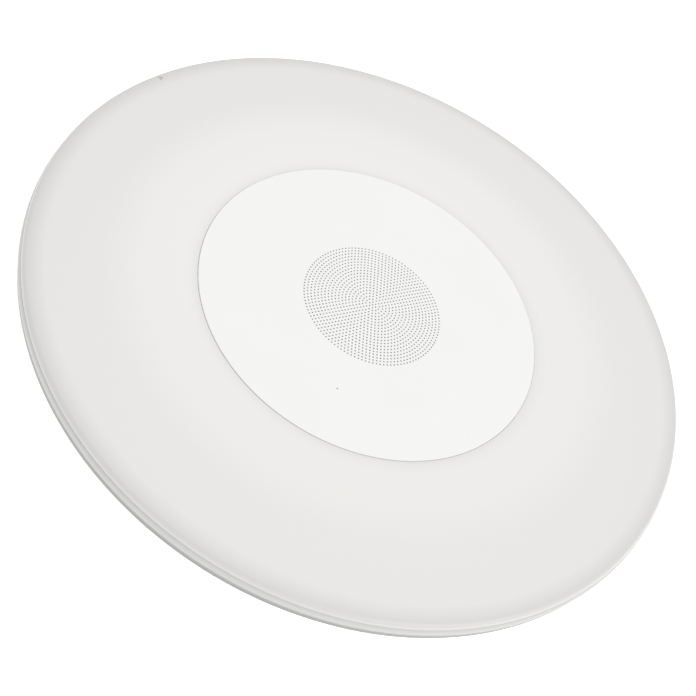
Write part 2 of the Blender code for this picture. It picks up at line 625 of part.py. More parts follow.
def make_cover():
    """Everything that comes off together: rim ring, diffuser, centre panel, cloth and fixings."""
    seam_z = FACE_Z - SEAM_DROP
    outside = diffuser_outside()
    wall_in, rib_in, rib_low = SEAM_RADIUS - DIFFUSER_WALL, SEAM_RADIUS - 4.2 * MM, seam_z - 2 * MM
    inside = [(radius, height - DIFFUSER_WALL) for radius, height in outside[:7]]
    inside += [(rib_in, FACE_Z + CROWN - DIFFUSER_WALL), (rib_in, rib_low)]
    inside += [(wall_in, rib_low), (wall_in, seam_z)]
    diffuser = turned("diffuser", [*outside, *reversed(inside)], RING_SEGMENTS, opal())

    bead_top, rim_low = seam_z - GAP, FACE_Z - RIM_DROP
    nose = [math.radians(turn) for turn in range(-60, 91, 30)]
    nose_r, nose_z = LAMP_RADIUS - BEAD_ROUND, bead_top - BEAD_ROUND
    skirt_out = SKIRT_RADIUS + SKIRT_WALL
    rim = [(SKIRT_RADIUS, SKIRT_Z), (skirt_out, SKIRT_Z), (skirt_out, rim_low)]
    rim += [(LAMP_RADIUS - 2.2 * MM, rim_low), (LAMP_RADIUS - 1.5 * MM, rim_low + 0.7 * MM)]
    rim += [(nose_r + BEAD_ROUND * math.cos(turn), nose_z + BEAD_ROUND * math.sin(turn)) for turn in nose]
    groove_out, groove_in, groove_z = wall_in + GAP, rib_in - GAP, rib_low - GAP
    rim += [(groove_out, bead_top), (groove_out, groove_z), (groove_in, groove_z)]
    rim += [(groove_in, bead_top - 1 * MM), (SKIRT_RADIUS, bead_top - 1 * MM)]
    rim_ring = turned("rim_ring", rim, RING_SEGMENTS, white_plastic())

    under = FACE_Z - PANEL_THICK
    panel = turned(
        "front_panel",
        [(0, under), (PANEL_RADIUS, under), (PANEL_RADIUS, FACE_Z), (0, FACE_Z)],
        RING_SEGMENTS,
        white_plastic(),
    )
    boss_length, boss_circle = 3.1 * MM, 110 * MM
    clamp_top = under - boss_length - GAP
    clamp = ring("panel_clamp", 105 * MM, 121 * MM, 2 * MM, white_steel(), (0, 0, clamp_top - 2 * MM))
    fixings = []
    for number, side in enumerate((30, 150, 270), 1):
        x, y = on_circle(boss_circle, side)
        boss_at = (x, y, under - boss_length)
        join(panel, cylinder("panel_boss", 3 * MM, boss_length + 0.5 * MM, None, boss_at, 10))
        drill(panel, 1.6 * MM, under - boss_length - 1 * MM, under + 0.6 * MM, (x, y), 8)
        drill(clamp, 1.6 * MM, clamp_top - 3 * MM, clamp_top + 1 * MM, (x, y), 8)
        spot = (x, y, clamp_top - 2 * MM - GAP)
        name = f"panel_screw_{number}"
        fixings.append(screw(name, spot, 2.6 * MM, 1.6 * MM, 1.2 * MM, 5 * MM, down=False))
    guide_at = (*WINDOW_AT, under - 9 * MM)
    join(panel, cylinder("window_guide", 3.4 * MM, 9.5 * MM, None, guide_at, 10))
    drill(panel, WINDOW_RADIUS + GAP, under - 10 * MM, FACE_Z + 1 * MM, WINDOW_AT, 10)

    cloth_top = under - GAP
    cloth_thick, cloth_look = 0.5 * MM, look("acoustic_cloth", "2B2B2D", 0.9)
    cloth_at = (0, 0, cloth_top - cloth_thick)
    cloth = cylinder("grille_cloth", GRILLE_RADIUS + 3 * MM, cloth_thick, cloth_look, cloth_at, 24)
    pipe_low = AUDIO_TOP + 9 * MM
    clear = look("clear_acrylic", "F2F4F5", 0.1)
    pipe_long = FACE_Z - GAP - pipe_low
    pipe = cylinder("light_pipe", WINDOW_RADIUS, pipe_long, clear, (*WINDOW_AT, pipe_low), 8)
    carrier("cover_lift", (0, 0, SKIRT_Z), [diffuser, rim_ring, panel, clamp, cloth, pipe, *fixings])


def main():
    clear_scene()
    make_bracket()
    make_pan()
    make_grommet()
    make_clips()
    make_light_boards()
    make_driver()
    make_audio_board()
    make_terminals()
    make_leads()
    make_speaker_box()
    make_driver_unit()
    make_moving_parts()
    make_cover()


main()
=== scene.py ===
"""Builds the finished look of a round flush ceiling light with a loudspeaker behind its centre panel."""

import json
import math

import bmesh
import bpy
from bpy.props import FloatProperty, FloatVectorProperty, IntProperty, PointerProperty
from mathutils import Matrix, Vector

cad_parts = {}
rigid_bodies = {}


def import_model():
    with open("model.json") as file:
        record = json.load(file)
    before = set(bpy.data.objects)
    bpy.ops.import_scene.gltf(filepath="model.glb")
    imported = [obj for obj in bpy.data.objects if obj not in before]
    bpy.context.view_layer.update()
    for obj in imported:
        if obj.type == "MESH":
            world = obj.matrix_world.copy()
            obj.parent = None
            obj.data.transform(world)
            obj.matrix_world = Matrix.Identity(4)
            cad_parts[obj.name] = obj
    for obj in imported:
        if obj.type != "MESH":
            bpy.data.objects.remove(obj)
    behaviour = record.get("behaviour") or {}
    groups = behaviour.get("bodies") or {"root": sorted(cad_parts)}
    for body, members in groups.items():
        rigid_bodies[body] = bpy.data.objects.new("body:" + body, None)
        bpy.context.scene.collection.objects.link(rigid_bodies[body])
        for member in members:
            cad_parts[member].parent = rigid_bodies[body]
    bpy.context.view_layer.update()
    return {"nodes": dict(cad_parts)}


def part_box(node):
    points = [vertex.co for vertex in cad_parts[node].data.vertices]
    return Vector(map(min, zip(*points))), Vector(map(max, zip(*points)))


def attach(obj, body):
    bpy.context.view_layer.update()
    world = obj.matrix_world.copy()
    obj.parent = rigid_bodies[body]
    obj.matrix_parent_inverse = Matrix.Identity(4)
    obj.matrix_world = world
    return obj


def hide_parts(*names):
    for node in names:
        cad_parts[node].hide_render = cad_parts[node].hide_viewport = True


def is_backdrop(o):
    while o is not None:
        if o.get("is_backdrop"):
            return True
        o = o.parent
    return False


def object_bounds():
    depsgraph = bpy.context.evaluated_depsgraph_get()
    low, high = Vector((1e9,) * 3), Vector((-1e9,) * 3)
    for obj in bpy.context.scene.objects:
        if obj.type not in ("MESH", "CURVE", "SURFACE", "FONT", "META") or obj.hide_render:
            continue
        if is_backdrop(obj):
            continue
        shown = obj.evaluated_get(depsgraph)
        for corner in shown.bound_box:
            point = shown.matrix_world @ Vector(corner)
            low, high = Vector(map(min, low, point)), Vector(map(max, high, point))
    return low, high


bl_info = {
    "name": "Speaker Ceiling Light",
    "version": (1, 0, 0),
    "blender": (4, 5, 0),
    "location": "View3D > Sidebar > Light",
    "description": "Builds a round ceiling light with an opal ring and a perforated centre panel",
    "category": "Add Mesh",
}

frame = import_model()

MM = 0.001
FACE_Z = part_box("front_panel")[1].z
LAMP_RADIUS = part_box("rim_ring")[1].x
PANEL_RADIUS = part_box("front_panel")[1].x
PANEL_UNDER = FACE_Z - 2 * MM
SHEET = 1.2 * MM
FLOOR_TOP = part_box("base_pan")[0].z + SHEET
RECESS_TOP = FLOOR_TOP + 7 * MM
STUD_CIRCLE = 63.5 * MM
STUD_ANGLES = (30, 150, 270)
BOSS_ANGLES = (30, 150, 270)
BOSS_CIRCLE = 110 * MM
SPEAKER_ANGLES = (45, 135, 225, 315)
SPEAKER_CIRCLE = 52 * MM
WINDOW_AT = (0.0, -81.2 * MM)
GROMMET_AT = (-92 * MM, -36 * MM)
AUDIO_AT = (0.0, -95 * MM)
DRIVER_AT = (0.0, 96 * MM)
LEVER_PITCH = 10.4 * MM
LEVER_AXIS = (-84 * MM, 19 * MM)
FINE = 192
MIDDLING = 96


def rgb(hex_colour):
    """An sRGB hex colour as linear red, green and blue."""
    levels = [int(hex_colour[i : i + 2], 16) / 255 for i in (0, 2, 4)]
    return [v / 12.92 if v <= 0.04045 else ((v + 0.055) / 1.055) ** 2.4 for v in levels]


def tint(name, hex_colour, words):
    return FloatVectorProperty(
        name=name, description=words, subtype="COLOR", size=3, min=0, max=1, default=rgb(hex_colour)
    )


def length(name, metres, words):
    return FloatProperty(name=name, description=words, default=metres, min=0, unit="LENGTH", precision=5)


# ---------------------------------------------------------------- what a user would change


class LightSizes(bpy.types.PropertyGroup):
    hole_pitch: length("Hole pitch", 2.5 * MM, "Distance from one ring of the perforation to the next")
    hole_radius: length("Hole radius", 0.63 * MM, "Radius of each hole of the perforation")
    hole_rings: IntProperty(
        name="Hole rings", description="Rings of holes round the centre hole", default=20, min=1
    )
    hole_turn: FloatProperty(
        name="Hole turn",
        description="Direction of the radii along which the holes line up",
        default=math.radians(44.75),
        subtype="ANGLE",
    )
    crown: length("Crown", 3.0 * MM, "How far the diffuser rises above the centre panel")
    shoulder: length("Shoulder", 3.2 * MM, "Radius of the diffuser's outer edge")
    bead: length("Bead", 4.5 * MM, "Radius of the rim's round nose")
    lens_radius: length("Lens radius", 4.4 * MM, "Radius of the lens over each light emitter")


class LightColours(bpy.types.PropertyGroup):
    opal: tint("Opal", "D9D8D6", "Diffuser acrylic")
    panel: tint("Panel", "E6E6E5", "Centre panel plastic")
    rim: tint("Rim", "C7C7C5", "Rim ring plastic")
    steel: tint("Pan", "DEDEDB", "Painted pan")
    lever: tint("Lever", "D9701B", "Terminal levers")
    floor: tint("Floor", "F4F4F4", "Floor under the light")


def sizes():
    return bpy.context.scene.light_sizes


def colours():
    return bpy.context.scene.light_colours


# ---------------------------------------------------------------- nodes


def add(tree, kind, links=None, **settings):
    """Adds a node. Settings are its properties or its inputs by name; links say what feeds an input."""
    node = tree.nodes.new(kind)
    for key, value in settings.items():
        if hasattr(node, key):
            setattr(node, key, value)
        else:
            node.inputs[key.replace("_", " ").title()].default_value = value
    for key, source in (links or {}).items():
        tree.links.new(source, node.inputs[key])
    return node


def material(name, base, roughness, **sockets):
    """A material with its Principled shader set, and its tree and shader for the caller to add to."""
    made = bpy.data.materials.new(name)
    made.use_nodes = True
    shader = made.node_tree.nodes["Principled BSDF"]
    shader.inputs["Base Color"].default_value = (*base, 1)
    shader.inputs["Roughness"].default_value = roughness
    for key, value in sockets.items():
        shader.inputs[key.replace("_", " ")].default_value = value
    return made, made.node_tree, shader


def shared(build):
    """Makes a finish once, so that every piece that asks for it has the same material."""
    names = {}

    def find(*choices):
        found = bpy.data.materials.get(names.get(choices, ""))
        if not found:
            found = build(*choices)
            names[choices] = found.name
        return found

    return find


def speckle(tree, size, detail=3.0, stretch=(1, 1, 1)):
    """Noise on the piece's own coordinates, with its grain in metres."""
    place = add(tree, "ShaderNodeTexCoord").outputs["Object"]
    turned_place = add(tree, "ShaderNodeMapping", {"Vector": place}, Scale=stretch).outputs["Vector"]
    return add(tree, "ShaderNodeTexNoise", {"Vector": turned_place}, Scale=1 / size, Detail=detail)


def relief(tree, shader, height, depth):
    """Feeds a height pattern, as deep as given in metres, to the shader's normal."""
    bump = add(tree, "ShaderNodeBump", {"Height": height}, Distance=depth)
    tree.links.new(bump.outputs["Normal"], shader.inputs["Normal"])


def grain(tree, shader, size, depth, detail=3.0, stretch=(1, 1, 1)):
    """Fine noise relief."""
    relief(tree, shader, speckle(tree, size, detail, stretch).outputs["Fac"], depth)


def ramp(tree, source, stops, target):
    """Colours a value through (position, colour) stops and feeds it to a socket."""
    node = add(tree, "ShaderNodeValToRGB", {"Fac": source})
    elements = node.color_ramp.elements
    while len(elements) < len(stops):
        elements.new(0.5)
    for element, (position, colour) in zip(elements, stops):
        element.position = position
    for element, (position, colour) in zip(elements, stops):
        element.color = (*colour, 1)
    tree.links.new(node.outputs["Color"], target)


def shade(level, colour):
    return [min(1.0, level * part) for part in colour]


def mottle(tree, shader, size, base, spread, detail=4.0, stretch=(1, 1, 1)):
    """Slow change between two close shades of a colour over the surface."""
    noise = speckle(tree, size, detail, stretch).outputs["Fac"]
    stops = [(0.3, shade(1 - spread, base)), (0.7, shade(1 + spread, base))]
    ramp(tree, noise, stops, shader.inputs["Base Color"])


def by_radius(tree, shader, base, stops):
    """Sets the base colour by (radius, level) stops about the light's axis."""
    place = add(tree, "ShaderNodeTexCoord").outputs["Object"]
    flat = add(tree, "ShaderNodeVectorMath", {0: place}, operation="MULTIPLY")
    flat.inputs[1].default_value = (1 / LAMP_RADIUS, 1 / LAMP_RADIUS, 0)
    far = add(tree, "ShaderNodeVectorMath", {0: flat.outputs["Vector"]}, operation="LENGTH")
    shades = [(min(1.0, radius / LAMP_RADIUS), shade(level, base)) for radius, level in stops]
    ramp(tree, far.outputs["Value"], shades, shader.inputs["Base Color"])


def clouded(name, base, roughness, cloud, texture, stretch=(1, 1, 1), **sockets):
    """A finish that drifts between close shades: cloud is (size, spread), texture is (size, depth)."""
    made, tree, shader = material(name, base, roughness, **sockets)
    mottle(tree, shader, cloud[0], base, cloud[1])
    grain(tree, shader, *texture, stretch=stretch)
    return made


def weave(tree, shader, pitch, depth, base, spread):
    """Two sets of threads that cross at right angles, with the pitch of one thread in metres."""
    place = add(tree, "ShaderNodeTexCoord").outputs["Object"]
    waves = {
        way: add(tree, "ShaderNodeTexWave", {"Vector": place}, bands_direction=way, Scale=0.314 / pitch)
        for way in ("X", "Y")
    }
    warp, weft = waves["X"].outputs["Fac"], waves["Y"].outputs["Fac"]
    crossing = add(tree, "ShaderNodeMath", {0: warp, 1: weft}, operation="MULTIPLY")
    over = crossing.outputs["Value"]
    stops = [(0.0, shade(1 - spread, base)), (0.6, shade(1 + spread, base))]
    ramp(tree, over, stops, shader.inputs["Base Color"])
    relief(tree, shader, over, depth)


# ---------------------------------------------------------------- finishes


def opal_acrylic():
    """Opal PMMA, moulded: milky under an even satin skin, with painted shade beside the panel's edge and
    over the outer shoulder, and a painted brighter band just outside the panel as of light through the
    acrylic.
    """
    made, tree, shader = material("opal_pmma_painted_shade", colours().opal, 0.34, IOR=1.49)
    # painted light and shade by radius: darker beside the panel's edge, brighter from 128 mm to 160 mm,
    # darker again over the outer shoulder
    levels = [(123, 0.93), (128, 1.01), (134, 1.04), (160, 1.03), (188, 0.985), (225, 0.98), (231, 0.92)]
    levels += [(235, 0.87), (236.6, 0.88), (238, 0.92)]
    by_radius(tree, shader, colours().opal, [(radius * MM, level) for radius, level in levels])
    grain(tree, shader, 0.9 * MM, 0.004 * MM)
    return made


def panel_plastic():
    """White ABS, moulded with a fine spark texture: matt, with a soft broad sheen."""
    cloud, texture = (40 * MM, 0.006), (0.5 * MM, 0.01 * MM)
    return clouded("white_abs_spark_textured", colours().panel, 0.6, cloud, texture, IOR=1.54)


def rim_plastic():
    """White ABS, moulded and polished a little more than the panel, with painted shade that darkens it
    towards its ceiling side.
    """
    made, tree, shader = material("white_abs_painted_underside_shade", colours().rim, 0.42, IOR=1.54)
    # painted shade under the nose: the wall darkens to half its colour from 5.3 mm to 8.5 mm below the
    # face
    place = add(tree, "ShaderNodeTexCoord").outputs["Object"]
    height = add(tree, "ShaderNodeSeparateXYZ", {"Vector": place}).outputs["Z"]
    share = add(
        tree,
        "ShaderNodeMapRange",
        {"Value": height},
        From_Min=FACE_Z - 8.5 * MM,
        From_Max=FACE_Z - 5.3 * MM,
    )
    stops = [(0.0, shade(0.5, colours().rim)), (1.0, colours().rim)]
    ramp(tree, share.outputs["Result"], stops, shader.inputs["Base Color"])
    grain(tree, shader, 0.8 * MM, 0.005 * MM)
    return made


@shared
def pad_ink():
    """Grey pad-printing ink, thin and matt, with a slightly uneven edge to edge density."""
    made, tree, shader = material("grey_pad_print", rgb("B2B1AA"), 0.6, IOR=1.5)
    mottle(tree, shader, 1 * MM, rgb("B2B1AA"), 0.05)
    return made


@shared
def clear_acrylic():
    """Clear PMMA, moulded and glossy, a little milky so that its end shows pale."""
    made, tree, shader = material(
        "clear_pmma_moulded", rgb("F4F6F6"), 0.06, IOR=1.49, Transmission_Weight=0.6
    )
    grain(tree, shader, 3 * MM, 0.002 * MM)
    return made


def powder_coat():
    """White powder coat on pressed steel: a low orange peel about 2 mm across, half gloss."""
    cloud, texture = (60 * MM, 0.012), (2 * MM, 0.02 * MM)
    return clouded("white_powder_coat", colours().steel, 0.42, cloud, texture, IOR=1.5)


@shared
def zinc_plate():
    """Zinc plated steel, clear passivated: bright grey with cloudy patches and faint rolling lines."""
    cloud, texture = (9 * MM, 0.12), (0.6 * MM, 0.006 * MM)
    return clouded(
        "zinc_plated_steel", rgb("BFC2C6"), 0.34, cloud, texture, stretch=(1, 8, 1), Metallic=1.0
    )


@shared
def spring_steel():
    """Cold rolled spring steel, oiled: darker than zinc, with fine lines along the strip."""
    cloud, texture = (5 * MM, 0.08), (0.4 * MM, 0.004 * MM)
    return clouded(
        "cold_rolled_spring_steel", rgb("A9ACAF"), 0.28, cloud, texture, stretch=(1, 1, 10), Metallic=1.0
    )


@shared
def foam(name, hex_colour, cell):
    """Soft open-cell foam, cut: matt, with its cells as a rough relief and painted shade in each pore."""
    made, tree, shader = material(name, rgb(hex_colour), 0.95, IOR=1.4)
    place = add(tree, "ShaderNodeTexCoord").outputs["Object"]
    cells = add(tree, "ShaderNodeTexVoronoi", {"Vector": place}, Scale=1 / cell).outputs["Distance"]
    # painted shade: each cell darkens towards its middle, to 0.45 of the foam's colour
    pore_shade = [(0.0, shade(0.45, rgb(hex_colour))), (0.5, rgb(hex_colour))]
    ramp(tree, cells, pore_shade, shader.inputs["Base Color"])
    relief(tree, shader, cells, 0.3 * cell)
    return made


@shared
def rubber(name="black_nbr_moulded"):
    """Black rubber, moulded: a dull skin with a bloom of slightly paler patches."""
    cloud, texture = (6 * MM, 0.2), (0.35 * MM, 0.008 * MM)
    return clouded(name, rgb("1D1D1E"), 0.72, cloud, texture, IOR=1.52)


@shared
def solder_mask(name, hex_colour, track_level):
    """Solder mask over copper: half gloss, with long tracks that show through as raised lines."""
    made, tree, shader = material(name, rgb(hex_colour), 0.35, IOR=1.55)
    place = add(tree, "ShaderNodeTexCoord").outputs["Object"]
    tracks = add(tree, "ShaderNodeTexBrick", {"Vector": place}, Scale=1.0, Mortar_Size=0.2 * MM)
    tracks.inputs["Brick Width"].default_value = 47 * MM
    tracks.inputs["Row Height"].default_value = 1.9 * MM
    base = rgb(hex_colour)
    ramp(
        tree,
        tracks.outputs["Fac"],
        [(0.0, base), (1.0, shade(track_level, base))],
        shader.inputs["Base Color"],
    )
    relief(tree, shader, tracks.outputs["Fac"], 0.03 * MM)
    return made


@shared
def tinned_steel():
    """Tin plated steel can, drawn: bright, with a faint cloud of handling marks."""
    cloud, texture = (4 * MM, 0.07), (0.5 * MM, 0.004 * MM)
    return clouded("tin_plated_can", rgb("C9CBCC"), 0.27, cloud, texture, Metallic=1.0)


@shared
def anodised_aluminium():
    """Extruded aluminium, natural anodised: satin grey with die lines along the extrusion."""
    made, tree, shader = material("anodised_aluminium_extruded", rgb("9EA2A6"), 0.4, Metallic=1.0)
    mottle(tree, shader, 2 * MM, rgb("9EA2A6"), 0.06, stretch=(1, 0.05, 1))
    grain(tree, shader, 0.3 * MM, 0.006 * MM, stretch=(1, 0.05, 1))
    return made


@shared
def dark_plastic(name, hex_colour, roughness, grit):
    """Dark moulded plastic or epoxy with an even fine texture."""
    cloud, texture = (12 * MM, 0.1), (grit, 0.012 * MM)
    return clouded(name, rgb(hex_colour), roughness, cloud, texture, IOR=1.55)


@shared
def pale_plastic(name, hex_colour, roughness=0.45):
    """Pale moulded plastic, such as polyamide, with a fine even texture."""
    cloud, texture = (10 * MM, 0.02), (0.4 * MM, 0.006 * MM)
    return clouded(name, rgb(hex_colour), roughness, cloud, texture, IOR=1.53)


@shared
def wire_pvc(name, hex_colour):
    """Soft PVC insulation, extruded: smooth and slightly waxy."""
    cloud, texture = (5 * MM, 0.06), (0.8 * MM, 0.01 * MM)
    return clouded(name, rgb(hex_colour), 0.42, cloud, texture, IOR=1.53)


@shared
def ferrite_ceramic():
    """Sintered ferrite, ground: charcoal grey with fine pits."""
    cloud, texture = (3 * MM, 0.15), (0.25 * MM, 0.03 * MM)
    return clouded("ferrite_sintered", rgb("2E2E30"), 0.55, cloud, texture, IOR=2.0)


@shared
def cone_paper():
    """Black pulp paper, pressed: matt, with short fibres that catch the light."""
    made, tree, shader = material("pulp_paper_pressed", rgb("242426"), 0.85, IOR=1.45)
    mottle(tree, shader, 0.8 * MM, rgb("242426"), 0.3, detail=6)
    grain(tree, shader, 0.5 * MM, 0.05 * MM, detail=6)
    return made


@shared
def enamelled_copper():
    """Enamelled copper wire, wound: one turn for each 0.35 mm of height, with a painted highlight along
    each turn and painted shade between turns.
    """
    made, tree, shader = material("enamelled_copper_winding", rgb("B4642A"), 0.3, Metallic=1.0)
    place = add(tree, "ShaderNodeTexCoord").outputs["Object"]
    turns = add(
        tree, "ShaderNodeTexWave", {"Vector": place}, bands_direction="Z", Scale=0.314 / (0.35 * MM)
    )
    # painted highlight and shade: bands from dark to bright copper, one for each turn
    levels = [(0.0, rgb("6E3714")), (1.0, rgb("C97D3C"))]
    ramp(tree, turns.outputs["Fac"], levels, shader.inputs["Base Color"])
    relief(tree, shader, turns.outputs["Fac"], 0.08 * MM)
    return made


@shared
def woven(name, hex_colour, pitch, depth, spread, roughness=0.9):
    """Open woven cloth, with its thread pitch drawn coarse enough to show."""
    made, tree, shader = material(name, rgb(hex_colour), roughness, IOR=1.45)
    weave(tree, shader, pitch, depth, rgb(hex_colour), spread)
    return made


@shared
def phosphor():
    """Yellow phosphor in silicone over a light emitter: cloudy and half gloss."""
    made, tree, shader = material("phosphor_silicone", rgb("E8CB4A"), 0.4, IOR=1.41)
    mottle(tree, shader, 0.6 * MM, rgb("E8CB4A"), 0.1)
    return made


# ---------------------------------------------------------------- shapes


def on_circle(radius, degrees):
    return radius * math.cos(math.radians(degrees)), radius * math.sin(math.radians(degrees))


def arc(centre, radius, start, stop, steps):
    """Points along an arc in a plane, with its angles in degrees."""
    turns = [start + (stop - start) * step / steps for step in range(steps + 1)]
    spots = [on_circle(radius, turn) for turn in turns]
    return [(centre[0] + x, centre[1] + y) for x, y in spots]


def round_outline(centre, radius, segments):
    return arc(centre, radius, 0, 360 * (segments - 1) / segments, segments - 1)


def soft_rectangle(centre, wide, deep, corner, steps=4):
    """(x, y) outline of a rectangle with round corners."""
    points = []
    for index, (side_x, side_y) in enumerate(((1, 1), (-1, 1), (-1, -1), (1, -1))):
        middle = (centre[0] + side_x * (wide / 2 - corner), centre[1] + side_y * (deep / 2 - corner))
        points += arc(middle, corner, 90 * index, 90 * index + 90, steps)
    return points


def slot_outline(centre, long, wide, turn=0.0, steps=8):
    """(x, y) outline of a slot with round ends, whose length lies at an angle."""
    half = (long - wide) / 2
    points = [*arc((half, 0), wide / 2, -90, 90, steps), *arc((-half, 0), wide / 2, 90, 270, steps)]
    place = Matrix.Rotation(math.radians(turn), 2)
    return [tuple(Vector(centre) + place @ Vector(point)) for point in points]


def verts_in(items):
    return [item for item in items if isinstance(item, bmesh.types.BMVert)]


def rim_in(items):
    """The edges of an extruded strip that border on nothing yet."""
    return [item for item in items if isinstance(item, bmesh.types.BMEdge) and item.is_boundary]


def face_out(data):
    bmesh.ops.recalc_face_normals(data, faces=data.faces[:])
    return data


def face_up(data, sign=1):
    """Turns a sheet's faces the same way round, up for sign 1 and down for sign -1."""
    face_out(data)
    if sign * sum(face.normal.z * face.calc_area() for face in data.faces) < 0:
        bmesh.ops.reverse_faces(data, faces=data.faces[:])


def moved(part, place):
    bmesh.ops.transform(part, matrix=place, verts=part.verts[:])
    return part


def loop(data, outline, height):
    """A closed loop of edges along (x, y) points."""
    verts = [data.verts.new((x, y, height)) for x, y in outline]
    return [data.edges.new(pair) for pair in zip(verts, verts[1:] + verts[:1])]


def grow(data, edges, rows):
    """Extrudes a round edge loop, centred on the axis, to each (radius, height) in turn."""
    for radius, height in rows:
        grown = bmesh.ops.extrude_edge_only(data, edges=edges)["geom"]
        for vert in verts_in(grown):
            vert.co.xy *= radius / vert.co.xy.length
            vert.co.z = height
        edges = rim_in(grown)
    return edges


def fill(data, loops):
    """Fills the area within the first loop and outside the others."""
    edges = [edge for one in loops for edge in one]
    bmesh.ops.triangle_fill(data, use_beauty=True, use_dissolve=False, edges=edges, normal=(0, 0, 1))


def deepen(data, under):
    """Copies a flat sheet down to a height and walls it in."""
    copied = bmesh.ops.extrude_face_region(data, geom=data.faces[:], use_keep_orig=True)["geom"]
    for vert in verts_in(copied):
        vert.co.z = under
    face_out(data)


def ease_edges(data, width, segments=2, angle=40):
    """Rounds the edges that are sharper than an angle."""
    least = math.radians(angle)
    sharp = [edge for edge in data.edges if edge.is_manifold and edge.calc_face_angle(0) > least]
    bmesh.ops.bevel(
        data,
        geom=sharp,
        offset=width,
        offset_type="OFFSET",
        segments=segments,
        profile=0.5,
        affect="EDGES",
        material=-1,
        clamp_overlap=True,
    )
    return data


def plate(outlines, low, high, edge=0.0):
    """A flat plate: the first outline is its edge and the others are holes."""
    data = bmesh.new()
    fill(data, [loop(data, outline, high) for outline in outlines])
    deepen(data, low)
    return ease_edges(data, edge) if edge else data


def turned(outline, segments):
    """Revolves (radius, height) points about an upright axis into a closed shape."""
    data = bmesh.new()
    points = [data.verts.new((radius, 0, height)) for radius, height in outline]
    edges = [data.edges.new(pair) for pair in zip(points, points[1:])]
    if outline[0][0] > 0 or outline[-1][0] > 0:
        edges.append(data.edges.new((points[-1], points[0])))
    bmesh.ops.spin(
        data,
        geom=points + edges,
        cent=(0, 0, 0),
        axis=(0, 0, 1),
        angle=math.tau,
        steps=segments,
        use_merge=True,
    )
    bmesh.ops.remove_doubles(data, verts=data.verts[:], dist=1e-7)
    return face_out(data)


def soft_ring(inner, outer, low, high, edge, segments):
    """A turned ring of rectangular section with round corners."""
    corners = soft_rectangle(((inner + outer) / 2, (low + high) / 2), outer - inner, high - low, edge, 3)
    return turned(corners, segments)


def soft_post(radius, low, high, edge, segments):
    """A turned cylinder with round edges."""
    outline = [(0, low), *arc((radius - edge, low + edge), edge, -90, 0, 3)]
    outline += [*arc((radius - edge, high - edge), edge, 0, 90, 3), (0, high)]
    return turned(outline, segments)


def block(size, edge, segments=2):
    """A box that stands on the origin, with round edges."""
    data = bmesh.new()
    bmesh.ops.create_cube(data, size=1)
    bmesh.ops.scale(data, vec=size, verts=data.verts[:])
    bmesh.ops.translate(data, vec=(0, 0, size[2] / 2), verts=data.verts[:])
    return ease_edges(data, edge, segments)


def strip(path, thick, width, edge=0.0):
    """A strip of sheet whose surface follows (x, z) points, and whose width lies along y."""
    data = bmesh.new()
    verts = [data.verts.new((x, -width / 2, z)) for x, z in path]
    edges = [data.edges.new(pair) for pair in zip(verts, verts[1:])]
    across = verts_in(bmesh.ops.extrude_edge_only(data, edges=edges)["geom"])
    bmesh.ops.translate(data, verts=across, vec=(0, width, 0))
    face_out(data)
    bmesh.ops.solidify(data, geom=data.faces[:], thickness=thick)
    face_out(data)
    return ease_edges(data, edge, 1) if edge else data


def cross_screw(head, rise, shank, reach):
    """A pan-head screw with a cross recess, its head on z = 0 and its shank below."""
    data = bmesh.new()
    arm, wide, flat = 0.52 * head, 0.13 * head, 0.66 * head
    rim = loop(data, round_outline((0, 0), flat, 24), rise)
    corner = [(arm, -wide), (arm, wide), (wide, wide)]
    turns = [Matrix.Rotation(math.pi / 2 * quarter, 2) for quarter in range(4)]
    cross = loop(data, [tuple(turn @ Vector(point)) for turn in turns for point in corner], rise)
    fill(data, [rim, cross])
    sunk = bmesh.ops.extrude_edge_only(data, edges=cross)["geom"]
    for vert in verts_in(sunk):
        vert.co.xy *= 0.6
        vert.co.z = 0.35 * rise
    fill(data, [rim_in(sunk)])
    rows = [(0.88 * head, 0.78 * rise), (0.98 * head, 0.4 * rise), (head, 0), (shank, 0)]
    rows += [(shank, -0.8 * reach), (0.3 * shank, -reach)]
    fill(data, [grow(data, rim, rows)])
    return face_out(data)


def at(x, y, z=0.0, turn=0.0):
    """A place, turned by degrees about the upright axis."""
    return Matrix.Translation((x, y, z)) @ Matrix.Rotation(math.radians(turn), 4, "Z")


def round_axis(radius, degrees, z=0.0):
    """A place on a circle, whose own x points away from the axis."""
    return Matrix.Rotation(math.radians(degrees), 4, "Z") @ Matrix.Translation((radius, 0, z))


def join(data, part):
    """Moves one shape into another, in the finishes it has."""
    mesh = bpy.data.meshes.new("part")
    part.to_mesh(mesh)
    part.free()
    data.from_mesh(mesh)
    bpy.data.meshes.remove(mesh)


def put(data, part, place=None, finish=0):
    """Adds one shape to another at a place, in one of the piece's finishes."""
    for face in part.faces:
        face.material_index = finish
    join(data, moved(part, place) if place else part)


def piece(name, data, finish, body, replaced=(), angle=35):
    """Turns a shape into a finished piece that rides on a body."""
    mesh = bpy.data.meshes.new(name)
    data.to_mesh(mesh)
    data.free()
    mesh.shade_smooth()
    mesh.set_sharp_from_angle(angle=math.radians(angle))
    for one in finish if isinstance(finish, (list, tuple)) else [finish]:
        mesh.materials.append(one)
    made = bpy.data.objects.new(name, mesh)
    bpy.context.scene.collection.objects.link(made)
    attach(made, body)
    if replaced:
        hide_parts(*([replaced] if isinstance(replaced, str) else replaced))
    return made


def thicken(made, wall):
    """Gives a sheet its wall, on the side away from its normals."""
    modifier = made.modifiers.new("wall", "SOLIDIFY")
    modifier.thickness = wall
    modifier.offset = -1
    modifier.use_even_offset = True


